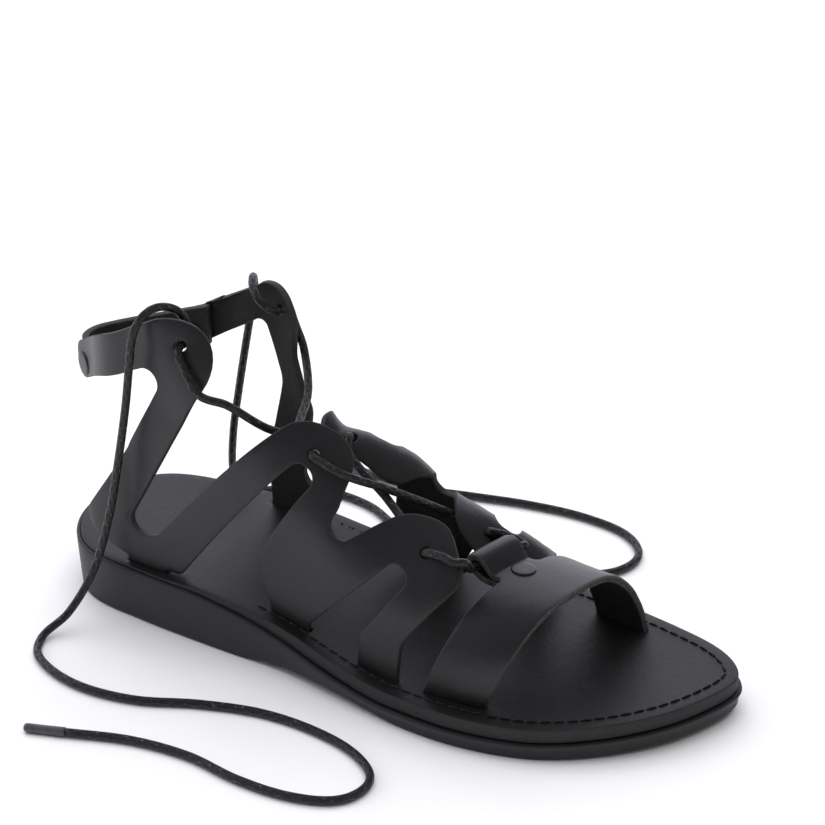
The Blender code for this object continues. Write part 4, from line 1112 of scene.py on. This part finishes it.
PATTERN = {
    # station, rise as a share of UPPER_RISE, corner radius as a share of STRAP_WIDTH
    LATERAL: (
        (0.140, IN_SLIT, 0.0),
        (0.140, 0.020, 0.05),
        (0.070, 0.110, 0.5),
        (0.230, 0.862, 0.3),
        (0.004, 0.560, 0.3),
        (0.004, 0.715, 0.3),
        (0.232, 1.035, 0.9),
        (0.290, 0.850, 1.0),
        (0.137, 0.136, 0.3),
        (0.186, 0.122, 0.5),
        (0.397, 0.748, 0.8),
        (0.480, 0.720, 0.7),
        (0.474, 0.495, 0.6),
        (0.430, 0.252, 0.26),
        (0.564, 0.592, 0.9),
        (0.622, 0.583, 0.7),
        (0.670, 0.413, 0.5),
        (0.595, 0.150, 0.8),
        (0.589, IN_SLIT, 0.0),
        (0.529, IN_SLIT, 0.0),
        (0.528, 0.107, 0.7),
        (0.596, 0.377, 0.24),
        (0.567, 0.420, 0.24),
        (0.486, 0.170, 1.0),
        (0.442, 0.026, 0.05),
        (0.440, IN_SLIT, 0.0),
        (0.379, IN_SLIT, 0.0),
        (0.379, 0.015, 0.05),
        (0.357, 0.200, 0.8),
        (0.439, 0.570, 0.25),
        (0.407, 0.602, 0.25),
        (0.231, JUST_ABOVE, 0.1),
        (0.206, JUST_ABOVE, 0.0),
        (0.206, IN_SLIT, 0.0),
    ),
    MEDIAL: (
        (0.240, IN_SLIT, 0.0),
        (0.240, 0.020, 0.05),
        (0.236, 0.200, 0.5),
        (0.272, 0.560, 0.8),
        (0.240, 0.785, 0.2),
        (0.093, 0.538, 0.2),
        (0.093, 0.697, 0.2),
        (0.268, 0.960, 0.6),
        (0.302, 0.830, 0.5),
        (0.294, 0.670, 0.5),
        (0.323, 0.485, 0.6),
        (0.297, 0.146, 0.3),
        (0.333, 0.126, 0.4),
        (0.392, 0.735, 0.5),
        (0.496, 0.690, 0.7),
        (0.525, 0.495, 0.6),
        (0.508, 0.252, 0.26),
        (0.594, 0.560, 0.7),
        (0.655, 0.535, 0.6),
        (0.722, 0.350, 0.5),
        (0.684, 0.150, 0.8),
        (0.694, IN_SLIT, 0.0),
        (0.634, IN_SLIT, 0.0),
        (0.634, 0.015, 0.05),
        (0.620, 0.107, 0.7),
        (0.659, 0.377, 0.24),
        (0.624, 0.420, 0.24),
        (0.572, 0.170, 1.0),
        (0.544, 0.026, 0.05),
        (0.545, IN_SLIT, 0.0),
        (0.483, IN_SLIT, 0.0),
        (0.483, 0.015, 0.05),
        (0.455, 0.200, 0.8),
        (0.480, 0.570, 0.25),
        (0.444, 0.602, 0.25),
        (0.335, JUST_ABOVE, 0.1),
        (0.306, JUST_ABOVE, 0.0),
        (0.306, IN_SLIT, 0.0),
    ),
}

STRAP_LIFT = {LATERAL: (0.08, 0.15), MEDIAL: (0.165, 0.225)}
HEEL_RIVETS = {LATERAL: (0.026, 0.650), MEDIAL: (0.118, 0.655)}
STRAP_GRID = 2.2 * MM
HOLE_DIMPLE = (4.5 * MM, 0.30 * MM)  # half width and depth
CREASES_FROM = (4 * MM, 12 * MM)  # rise where the creases begin, and where they are full


def strap_lift(side, x):
    """The rear end of each ankle strap lies over the heel strap."""
    over = LEATHER + CLEARANCE
    full, none = STRAP_LIFT[side]
    return over * (1 - ease(x, at_station(full), at_station(none)))


def soft_wave(x, rise):
    """The slow unevenness of leather that was bent by hand."""
    reach = 16 * MM
    slow = noise.noise(Vector((x / reach, rise / reach, 3.7)))
    quick = noise.noise(Vector((3 * x / reach, 3 * rise / reach, 9.2)))
    return 0.22 * MM * (slow + 0.25 * quick)


CREASES = {
    # first and last station and rise, half width in MM, height in MM, which is below zero for a trough
    LATERAL: (
        (0.150, 0.700, 0.165, 0.860, 6.0, -0.30),
        (0.215, 0.640, 0.262, 0.560, 7.0, -0.45),
        (0.150, 0.215, 0.185, 0.330, 8.0, 0.35),
        (0.385, 0.560, 0.350, 0.480, 7.0, -0.40),
        (0.455, 0.520, 0.480, 0.600, 6.0, -0.35),
        (0.440, 0.180, 0.500, 0.300, 9.0, 0.40),
        (0.560, 0.480, 0.600, 0.400, 6.0, -0.35),
        (0.590, 0.200, 0.640, 0.330, 7.0, 0.30),
    ),
    MEDIAL: (
        (0.452, 0.740, 0.450, 0.520, 9.0, -1.10),
        (0.280, 0.620, 0.300, 0.560, 6.0, -0.40),
        (0.610, 0.560, 0.620, 0.420, 8.0, -0.50),
        (0.500, 0.500, 0.530, 0.360, 8.0, 0.35),
    ),
}


def creases(side, x, rise):
    """The troughs and ridges of one side piece, and the dimple that the lace pulls in at each hole."""
    here = Vector((x, rise))
    height = 0.0
    for from_share, from_rise, to_share, to_rise, width, deep in CREASES[side]:
        start = Vector((at_station(from_share), from_rise * UPPER_RISE))
        way = Vector((at_station(to_share), to_rise * UPPER_RISE)) - start
        along = min(max((here - start).dot(way) / way.length_squared, 0.0), 1.0)
        away = (here - start - way * along).length / (width * MM)
        height += deep * MM * math.exp(-away * away)
    for share, hole_rise in LACE_HOLES[side]:
        away = (here - Vector((at_station(share), hole_rise * UPPER_RISE))).length / HOLE_DIMPLE[0]
        height -= HOLE_DIMPLE[1] * math.exp(-away * away)
    return height


def make_side_strap(side, label):
    corners = [(at_station(s), r * UPPER_RISE, c * STRAP_WIDTH) for s, r, c in PATTERN[side]]
    outline = inset_loop(rounded(corners), EDGE_ROLL)
    holes = [
        round_hole((at_station(share), rise * UPPER_RISE), LACE_HOLE / 2 + 0.2 * MM)
        for share, rise in LACE_HOLES[side]
    ]
    flat = flat_sheet(outline, holes, STRAP_GRID)

    def place(x, rise):
        return on_last(side, x, rise, strap_lift(side, x))

    def wave(x, rise):
        return soft_wave(x, rise) + creases(side, x, rise) * float(ease(rise, *CREASES_FROM))

    piece = laid_piece(f"{label}_side_strap", flat, place, LEATHER_FINISH, wave=wave, facing=-side)
    flat.free()
    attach(piece, "root")
    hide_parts(f"{label}_strap")
    print(piece.name, "faces:", len(piece.data.polygons))


make_side_strap(LATERAL, "lateral")
make_side_strap(MEDIAL, "medial")

# %% Heel strap
HEEL_STRAP_ENDS = {LATERAL: 0.056, MEDIAL: 0.147}
HEEL_STRAP = (
    # share of the way round, lower and upper edge as shares of UPPER_RISE
    (0.0, 0.625, 0.725),
    (0.4, 0.580, 0.700),
    (0.7, 0.565, 0.715),
    (1.0, 0.615, 0.770),
)


def heel_span(side):
    """Length of the turn from the heel's back to where it starts, and from there to the strap's end."""
    turn = HEEL_LOOP_LENGTH[side]
    return turn, turn - (HEEL_TURN - at_station(HEEL_STRAP_ENDS[side]))


def make_heel_strap():
    spans = {side: heel_span(side) for side in (LATERAL, MEDIAL)}
    total = spans[LATERAL][1] + spans[MEDIAL][1]

    def place(along, rise):
        past = along - spans[LATERAL][1]
        side = MEDIAL if past > 0 else LATERAL
        return on_last(side, HEEL_TURN - spans[side][0] + abs(past), rise)

    shares = np.linspace(0.0, 1.0, 25)
    lower = [(share * total, read_table(HEEL_STRAP, share)[0] * UPPER_RISE) for share in shares]
    upper = [(share * total, read_table(HEEL_STRAP, share)[1] * UPPER_RISE) for share in shares[::-1]]
    flat = flat_sheet(inset_loop(lower + upper, EDGE_ROLL), [], STRAP_GRID)
    piece = laid_piece("heel_band", flat, place, LEATHER_FINISH, wave=soft_wave, facing=-1)
    flat.free()
    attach(piece, "root")
    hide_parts("heel_strap")


make_heel_strap()

# %% Toe strap with the tongue folded round the lace
TOE_GRID = 1.6 * MM
RAGGED = (0.30 * MM, 1.6 * MM, 2.5 * MM)  # depth, length and reach of the front edge's small waves


def make_toe_strap():
    down = -(INSOLE_THICKNESS - CLEARANCE)
    middle = TOE_SPAN * TONGUE_AT
    bend = sum(length for length, _ in TONGUE_FOLD) * LACE
    reach = -(bend + TONGUE_LAP + tongue_path(bend)[0])

    def place(along, forward):
        if forward >= 0:
            return toe_point(along, forward / TOE_WIDTH)
        back, up = tongue_path(-forward)
        return toe_point(along, -back / TOE_WIDTH, up)

    outline = rounded([
        (down, 0.0, 0.0),
        (middle - TONGUE_WIDTH / 2, 0.0, 2 * MM),
        (middle - TONGUE_WIDTH / 2, reach, 3 * MM),
        (middle + TONGUE_WIDTH / 2, reach, 3 * MM),
        (middle + TONGUE_WIDTH / 2, 0.0, 2 * MM),
        (TOE_SPAN - down, 0.0, 0.0),
        (TOE_SPAN - down, TOE_WIDTH, 0.0),
        (down, TOE_WIDTH, 0.0),
    ])
    flat = flat_sheet(inset_loop(outline, EDGE_ROLL), [], TOE_GRID)
    depth, length, reach = RAGGED
    for vert in flat.verts:
        raw = ease(vert.co.y, TOE_WIDTH - reach, TOE_WIDTH - EDGE_ROLL)
        vert.co.y += raw * depth * noise.noise(Vector((vert.co.x / length, 0.0, 8.1)))
    finishes = [strap_grain, strap_flesh, raw_edge]
    piece = laid_piece("toe_band", flat, place, finishes, wave=soft_wave, facing=-1)
    flat.free()
    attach(piece, "root")
    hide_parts("toe_strap")


make_toe_strap()

# %% [markdown]
# ## Insole and outsole
# The insole is a board with leather on it. Eight slits let the straps down into it, so it is drawn as one
# more flat pattern with long holes. The outsole is one rubber moulding, lofted from the outline through a
# stack of rings from its rounded tread edge to the well that the insole lies in.

# %% Insole
SLITS = (
    # side, first and last station
    (LATERAL, 0.140, 0.206),
    (LATERAL, 0.379, 0.440),
    (LATERAL, 0.529, 0.589),
    (MEDIAL, 0.240, 0.306),
    (MEDIAL, 0.483, 0.545),
    (MEDIAL, 0.634, 0.694),
)


def slit_loop(points_in, points_out):
    return tidy_loop([(p.x, p.y) for p in points_in] + [(p.x, p.y) for p in points_out[::-1]])


def side_slit(side, first, last):
    xs = np.linspace(at_station(first) - SLIT_END_ROOM, at_station(last) + SLIT_END_ROOM, 16)
    inner = [on_last(side, x, 0.0, -CLEARANCE) for x in xs]
    outer = [on_last(side, x, 0.0, LEATHER + CLEARANCE) for x in xs]
    return slit_loop(inner, outer)


def toe_slit(along):
    room = SLIT_END_ROOM / TOE_WIDTH
    shares = np.linspace(-room, 1 + room, 20)
    inner = [toe_point(along, share, -CLEARANCE) for share in shares]
    outer = [toe_point(along, share, LEATHER + CLEARANCE) for share in shares]
    return slit_loop(inner, outer)


INSOLE_GRID = 2.4 * MM
INSOLE_POINTS = 300
HEEL_HOLLOW = 0.35 * MM
HOLLOW_STARTS = (-30 * MM, 0.0)
HOLLOW_ENDS = (10 * MM, 45 * MM)


def make_insole():
    edge = RIM_WIDTH + CLEARANCE + EDGE_ROLL
    outline = [tuple(p) for p in smooth_loop(outline_corners(), INSOLE_POINTS)]
    slits = [side_slit(*row) for row in SLITS] + [toe_slit(0.0), toe_slit(TOE_SPAN)]
    flat = flat_sheet(inset_loop(outline, edge), slits, INSOLE_GRID)

    def place(x, y):
        return Vector((x, y, insole_under(x)))

    def worn(x, y):
        """A slow unevenness, and the hollow that the heel sits in."""
        middle = 1.0 - min(1.0, abs(y) / (0.38 * BALL_WIDTH)) ** 2
        hollow = HEEL_HOLLOW * middle * (ease(x, *HOLLOW_STARTS) - ease(x, *HOLLOW_ENDS))
        return 0.12 * MM * noise.noise(Vector((x / 0.02, y / 0.02, 1.3))) - hollow

    finishes = [footbed_grain, footbed_grain, footbed_edge]
    piece = laid_piece("footbed", flat, place, finishes, INSOLE_THICKNESS, worn, 1)
    flat.free()
    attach(piece, "root")
    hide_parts("insole")
    print(piece.name, "faces:", len(piece.data.polygons))


make_insole()

# %% Outsole
SOLE_POINTS = 352
SOLE_LOOP = smooth_loop(outline_corners(), SOLE_POINTS)
SPINE_ENDS = 0.13  # share of LENGTH from the sole's tips to the ends of its spine
LIP = 0.35 * MM
LIP_STARTS = (0.45, 0.62)
UNDER_RIM = 0.1 * MM
TREAD_CURVE = (
    # shares of TREAD_ROUND, in from the wall and up from the floor
    (1.0, 0.0), (0.62, 0.07), (0.29, 0.29), (0.07, 0.62),
)
WALL_CURVE = (
    # share of the wall's height, and of WALL_TAPER and LIP in from the outline
    (0.0, 1.0, 0.0), (0.3, 0.65, 1.0), (0.6, 0.35, 1.0), (0.8, 0.15, 0.6), (1.0, 0.0, 0.0),
)
EDGE_CURVE = (
    # shares of EDGE_ROUND, in from the outline and down from the rim
    (0.10, 0.55), (0.38, 0.18), (0.90, 0.0),
)


def inward_normals(loop):
    along = np.roll(loop, -1, axis=0) - np.roll(loop, 1, axis=0)
    across = np.column_stack([-along[:, 1], along[:, 0]])
    return across / np.linalg.norm(across, axis=1)[:, None]


def spine_point(x):
    ends = SPINE_ENDS * LENGTH
    at = float(np.clip(x, HEEL_BACK + ends, HEEL_BACK + LENGTH - ends))
    return np.array([at, (half_width(MEDIAL, at) - half_width(LATERAL, at)) / 2])


SOLE_SPINE = np.array([spine_point(x) for x, _ in SOLE_LOOP])
SOLE_INWARD = inward_normals(SOLE_LOOP)


def sole_ring(inset, height, share=1.0):
    insets = np.array([inset(x) if callable(inset) else inset for x, _ in SOLE_LOOP])
    points = SOLE_LOOP + SOLE_INWARD * insets[:, None]
    flat = SOLE_SPINE + (points - SOLE_SPINE) * share
    return [(x, y, height(x)) for x, y in flat]


def close_ring(bm, row):
    count = len(row)
    for i in range(count // 2):
        corners = (row[i], row[i + 1], row[count - i - 1], row[-i])
        bm.faces.new(tuple(dict.fromkeys(corners)))


def make_outsole():
    def wall(x, share):
        low = floor_height(x) + TREAD_ROUND
        return low + share * (rim_height(x) - low - EDGE_ROUND)

    def well(x):
        return min(insole_under(x) - CLEARANCE, rim_height(x) - UNDER_RIM)

    def lip(x):
        """Along the forefoot the middle of the wall lies a little in from its upper edge."""
        return LIP * ease(station(x), *LIP_STARTS)

    rings = [sole_ring(WALL_TAPER + TREAD_ROUND, floor_height, 0.5)]
    for inward, up in TREAD_CURVE:
        inset = WALL_TAPER + TREAD_ROUND * inward
        rings.append(sole_ring(inset, lambda x: floor_height(x) + TREAD_ROUND * up))
    for share, taper, lipped in WALL_CURVE:
        rings.append(sole_ring(lambda x: WALL_TAPER * taper + lip(x) * lipped, lambda x: wall(x, share)))
    for inward, down in EDGE_CURVE:
        rings.append(sole_ring(EDGE_ROUND * inward, lambda x: rim_height(x) - EDGE_ROUND * down))
    rings += [sole_ring(RIM_WIDTH, rim_height), sole_ring(RIM_WIDTH, well), sole_ring(RIM_WIDTH, well, 0.5)]
    bm = bmesh.new()
    rows = [[bm.verts.new(point) for point in points] for points in rings]
    join_rings(bm, rows)
    close_ring(bm, rows[0])
    close_ring(bm, rows[-1])
    bmesh.ops.recalc_face_normals(bm, faces=bm.faces)
    piece = add_piece("rubber_sole", bm, [sole_rubber])
    piece.data.set_sharp_from_angle(angle=math.radians(50))
    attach(piece, "root")
    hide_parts("outsole")


make_outsole()

# %% [markdown]
# ## Rivets, fibres and stitches by Geometry Nodes
# A rivet is one turned shape set three times, and a row of stitches or of loose fibres is one small shape set
# many times along a line. These are rules, so Geometry Nodes make them: points carry the place and the
# direction, and a tree puts one model on each.

# %% A tree that sets one shape on points
def setting_tree(name, along_line):
    """Sets a shape on the points of a mesh, or at even steps along a line, turned to a direction."""
    tree = bpy.data.node_groups.new(name, "GeometryNodeTree")
    labels = ("Geometry", "Shape", "Finish", "Step", "Wander")
    for label, kind in zip(labels, ("Geometry", "Object", "Material", "Float", "Float")):
        tree.interface.new_socket(label, in_out="INPUT", socket_type=f"NodeSocket{kind}")
    tree.interface.new_socket("Geometry", in_out="OUTPUT", socket_type="NodeSocketGeometry")
    given = tree.nodes.new("NodeGroupInput").outputs
    if along_line:
        line = add_node(tree, "GeometryNodeMeshToCurve", {0: given["Geometry"]})
        inputs = {"Curve": line.outputs[0], "Length": given["Step"]}
        points = add_node(tree, "GeometryNodeCurveToPoints", inputs, mode="LENGTH").outputs
        align = add_node(tree, "FunctionNodeAlignRotationToVector", {"Vector": points["Tangent"]}, axis="X")
        least = times(tree, given["Wander"], -1.0)
        inputs = {0: least, 1: given["Wander"], "Seed": 5}
        turn = add_node(tree, "FunctionNodeRandomValue", inputs, data_type="FLOAT_VECTOR")
        turn = add_node(tree, "FunctionNodeEulerToRotation", {0: turn.outputs[0]})
        inputs = {0: align.outputs[0], 1: turn.outputs[0]}
        turned_way = add_node(tree, "FunctionNodeRotateRotation", inputs, rotation_space="LOCAL")
        places = points["Points"]
    else:
        way = add_node(tree, "GeometryNodeInputNamedAttribute", {"Name": "facing"}, data_type="FLOAT_VECTOR")
        turned_way = add_node(tree, "FunctionNodeAlignRotationToVector", {"Vector": way.outputs[0]}, axis="Z")
        places = given["Geometry"]
    shape = add_node(tree, "GeometryNodeObjectInfo", {"Object": given["Shape"]})
    inputs = {"Points": places, "Instance": shape.outputs["Geometry"], "Rotation": turned_way.outputs[0]}
    placed = add_node(tree, "GeometryNodeInstanceOnPoints", inputs)
    real = add_node(tree, "GeometryNodeRealizeInstances", {0: placed.outputs[0]})
    inputs = {"Geometry": real.outputs[0], "Material": given["Finish"]}
    dressed = add_node(tree, "GeometryNodeSetMaterial", inputs)
    out = tree.nodes.new("NodeGroupOutput")
    tree.links.new(dressed.outputs[0], out.inputs["Geometry"])
    return tree


SET_ON_POINTS = setting_tree("set_on_points", False)
SET_ALONG_LINE = setting_tree("set_along_line", True)


def run_tree(name, base, tree, **values):
    """Runs a tree on a base object and keeps the result as a plain mesh piece."""
    modifier = base.modifiers.new("tree", "NODES")
    modifier.node_group = tree
    for item in tree.interface.items_tree:
        if item.in_out == "INPUT" and item.name in values:
            modifier[item.identifier] = values[item.name]
    graph = bpy.context.evaluated_depsgraph_get()
    mesh = bpy.data.meshes.new_from_object(base.evaluated_get(graph))
    mesh.name = name
    bpy.data.objects.remove(base)
    piece = bpy.data.objects.new(name, mesh)
    bpy.context.scene.collection.objects.link(piece)
    return piece


def base_object(name, points, edges=()):
    mesh = bpy.data.meshes.new(name)
    mesh.from_pydata([tuple(p) for p in points], edges, [])
    base = bpy.data.objects.new(name, mesh)
    bpy.context.scene.collection.objects.link(base)
    return base


def point_object(points, facings):
    base = base_object("points", points)
    way = base.data.attributes.new("facing", "FLOAT_VECTOR", "POINT")
    way.data.foreach_set("vector", np.array(facings, float).reshape(-1))
    return base


def line_object(points):
    return base_object("line", points, [(i, i + 1) for i in range(len(points) - 1)])


# %% Rivets
RIVET_CAP = 9.0 * MM
WASHER_RELIEF = 0.3 * MM


def turned(name, profile, finish, steps=40):
    """A shape turned round Z from a profile of (radius, height) that starts and ends on the axis."""
    bm = bmesh.new()
    rows = []
    for radius, height in profile:
        if radius < 1e-9:
            rows.append([bm.verts.new((0.0, 0.0, height))])
        else:
            rows.append([bm.verts.new((radius * c, radius * s, height)) for c, s in circle(steps)])
    for low, high in zip(rows, rows[1:]):
        for k in range(steps):
            j = (k + 1) % steps
            corners = (low[k % len(low)], low[j % len(low)], high[j % len(high)], high[k % len(high)])
            bm.faces.new(tuple(dict.fromkeys(corners)))
    bmesh.ops.recalc_face_normals(bm, faces=bm.faces)
    obj = add_piece(name, bm, [finish])
    obj.data.set_sharp_from_angle(angle=math.radians(55))
    return obj


def rivet_frame(side, share, rise):
    x = at_station(share)
    lift = strap_lift(side, x)
    inner = on_last(side, x, rise * UPPER_RISE, lift)
    outer = on_last(side, x, rise * UPPER_RISE, lift + LEATHER)
    return outer, (outer - inner).normalized()


toe_inner = toe_point(TOE_SPAN * TONGUE_AT, TOE_RIVET_BACK)
toe_outer = toe_point(TOE_SPAN * TONGUE_AT, TOE_RIVET_BACK, LEATHER)
RIVETS = [
    rivet_frame(LATERAL, *HEEL_RIVETS[LATERAL]),
    rivet_frame(MEDIAL, *HEEL_RIVETS[MEDIAL]),
    (toe_outer, (toe_outer - toe_inner).normalized()),
]

CAP_PROFILE = (
    # share of RIVET_CAP out from the axis, height above the leather in MM
    (0.0, 0.62), (0.24, 0.61), (0.40, 0.57), (0.46, 0.49), (0.49, 0.34), (0.50, -0.10), (0.50, -0.40),
    (0.0, -0.40),
)
WASHER_PROFILE = (
    # MM out from the axis, height in MM above the inside of the leather
    (0.0, -0.40), (1.25, -0.40), (1.9, -0.35), (2.2, -0.75), (3.192, -0.95), (3.8, -0.70), (3.8, 0.10),
    (0.0, 0.10),
)
WASHER_AT = -(2 * LEATHER + CLEARANCE + WASHER_RELIEF)
cap = turned("cap_model", [(out * RIVET_CAP, up * MM) for out, up in CAP_PROFILE], rivet_black)
washer = turned("washer_model", [(out * MM, WASHER_AT + up * MM) for out, up in WASHER_PROFILE], washer_brass)

for name, model, finish in (("rivet_caps", cap, rivet_black), ("rivet_washers", washer, washer_brass)):
    base = point_object([place for place, _ in RIVETS], [way for _, way in RIVETS])
    piece = run_tree(name, base, SET_ON_POINTS, Shape=model, Finish=finish)
    bpy.data.objects.remove(model)
    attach(piece, "root")
    if name == "rivet_caps":
        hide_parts("toe_rivet", "lateral_rivet", "medial_rivet")

# %% Fibres of the toe strap's raw front edge
FRAY_STEP = 0.55 * MM
FRAY_WANDER = 0.9
FRAY_ENDS = 1.0 * MM
FRAY_LINE_POINTS = 140
FIBRE_REACHES = (1.0, 0.7, 1.25, 0.8, 1.1)
FIBRE_RADIUS = 0.09 * MM
FIBRE_SPREAD = 0.25
FIBRE_CURL = 0.2 * MM


def tuft_model():
    """A few stray fibres that stand out round the edge they grow from."""
    bm = bmesh.new()
    for k, reach in enumerate(FIBRE_REACHES):
        angle = 2 * math.pi * k / len(FIBRE_REACHES) + 0.3
        out = Vector((FIBRE_SPREAD * (k - 2), math.cos(angle), math.sin(angle))).normalized() * reach * MM
        wide = Vector((FIBRE_RADIUS, 0.0, 0.0))
        tall = out.cross(wide).normalized() * FIBRE_RADIUS
        foot = [bm.verts.new(corner) for corner in (wide, tall, -wide, -tall)]
        knee = [bm.verts.new(out * 0.6 + corner * 0.8) for corner in (wide, tall, -wide, -tall)]
        tip = bm.verts.new(out + Vector((FIBRE_CURL, 0.0, 0.0)))
        for a, b in zip(range(4), (1, 2, 3, 0)):
            bm.faces.new((foot[a], foot[b], knee[b], knee[a]))
            bm.faces.new((knee[a], knee[b], tip))
        bm.faces.new(foot[::-1])
    bmesh.ops.recalc_face_normals(bm, faces=bm.faces)
    return add_piece("tuft_model", bm, [raw_edge])


places = np.linspace(FRAY_ENDS, TOE_SPAN - FRAY_ENDS, FRAY_LINE_POINTS)
front_line = [toe_point(along, 1.0, LEATHER / 2) for along in places]
tuft = tuft_model()
fray = run_tree(
    "toe_fray", line_object(front_line), SET_ALONG_LINE, Shape=tuft, Finish=raw_edge, Step=FRAY_STEP,
    Wander=FRAY_WANDER,
)
bpy.data.objects.remove(tuft)
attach(fray, "root")
print("fibre faces:", len(fray.data.polygons))

# %% Stitches along the insole
STITCH_STEP = 4.6 * MM
STITCH_INSET = 6.4 * MM
STITCH_SUNK = 0.02 * MM
STITCH_LINE_POINTS = 400
STITCH_FROM = 0.36  # station where the row begins on both sides
STITCH_HALF = 0.40 * STITCH_STEP
THREAD = 0.84 * MM
STITCH_CURVE = (
    # share of STITCH_HALF from the middle, height in MM
    (1.0, -0.50), (0.9, 0.10), (0.5, 0.30), (0.0, 0.34), (-0.5, 0.30), (-0.9, 0.10), (-1.0, -0.50),
)


def stitch_model():
    """One stitch: a thread that comes up, lies along the leather and goes down."""
    points = [(-share * STITCH_HALF, 0.0, height * MM) for share, height in STITCH_CURVE]
    return lace_tube("stitch_model", points, thread_black, sides=6, radius=THREAD / 2, taper=0.7)


stitch_loop = smooth_loop(outline_corners(), STITCH_LINE_POINTS)
stitch_line = stitch_loop + inward_normals(stitch_loop) * STITCH_INSET
stitch_line = [(x, y, insole_height(x) - STITCH_SUNK) for x, y in stitch_line]
first_x = at_station(STITCH_FROM)
start = next(k for k in range(len(stitch_line)) if stitch_line[k - 1][0] < first_x <= stitch_line[k][0])
stitch_line = [point for point in stitch_line[start:] + stitch_line[:start] if point[0] >= first_x]
one_stitch = stitch_model()
stitches = run_tree(
    "footbed_stitches", line_object(stitch_line), SET_ALONG_LINE, Shape=one_stitch, Finish=thread_black,
    Step=STITCH_STEP, Wander=0.05,
)
bpy.data.objects.remove(one_stitch)
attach(stitches, "root")
print("stitch faces:", len(stitches.data.polygons))

# %% [markdown]
# ## Floor and light
# A product photograph on white. Black leather shows almost only what it mirrors, so the light is made of
# cards: two far behind the shoe, one low and one high, one on the left, and little from the camera's side. A
# large lamp overhead whitens the floor and gives the soft shadow close to the sole, and the leather doesn't
# mirror it.

# %% Floor and lights
def make_floor():
    bm = bmesh.new()
    bmesh.ops.create_grid(bm, x_segments=1, y_segments=1, size=6.0)
    made, _, shader = new_material("pale_floor", 0.0)
    shader.inputs["Roughness"].default_value = 0.9
    shader.inputs["Base Color"].default_value = (0.92, 0.92, 0.92, 1.0)
    add_piece("floor", bm, [made])


def soft_light(name, place, size, brightness, colour, mirrored):
    """A rectangular light that faces the shoe, of an even brightness in the picture's own units."""
    data = bpy.data.lights.new(name, "AREA")
    data.shape = "RECTANGLE"
    data.size, data.size_y = size
    data.energy = brightness * math.pi * size[0] * size[1]
    data.color = colour
    light = bpy.data.objects.new(name, data)
    bpy.context.scene.collection.objects.link(light)
    light.location = place
    light.rotation_euler = (Vector(LIT_PLACE) - Vector(place)).to_track_quat("-Z", "Y").to_euler()
    light.visible_glossy = mirrored


LIT_PLACE = (0.08, 0.0, 0.05)
LAMP_COLOUR = (1.0, 1.0, 1.0)
CARD_COLOUR = (0.88, 0.87, 1.0)
LIGHTS = (
    # name, place, width and height, brightness, colour, whether the leather mirrors it
    ("overhead", (0.0, 0.5, 2.6), (4.2, 4.2), 1.6, LAMP_COLOUR, False),
    ("far_card", (-1.5, 2.6, 0.9), (5.0, 2.0), 1.5, CARD_COLOUR, True),
    ("high_card", (-0.6, 1.3, 1.9), (2.2, 1.4), 1.3, CARD_COLOUR, True),
    ("left_card", (-1.7, -0.45, 1.0), (2.0, 1.1), 2.3, CARD_COLOUR, True),
)

make_floor()
for row in LIGHTS:
    soft_light(*row)
world = bpy.data.worlds.new("studio")
bpy.context.scene.world = world
world.use_nodes = True
sky = world.node_tree.nodes["Background"].inputs
sky["Color"].default_value = (0.94, 0.94, 1.0, 1.0)
sky["Strength"].default_value = 0.22
bpy.context.scene.view_settings.view_transform = "Standard"
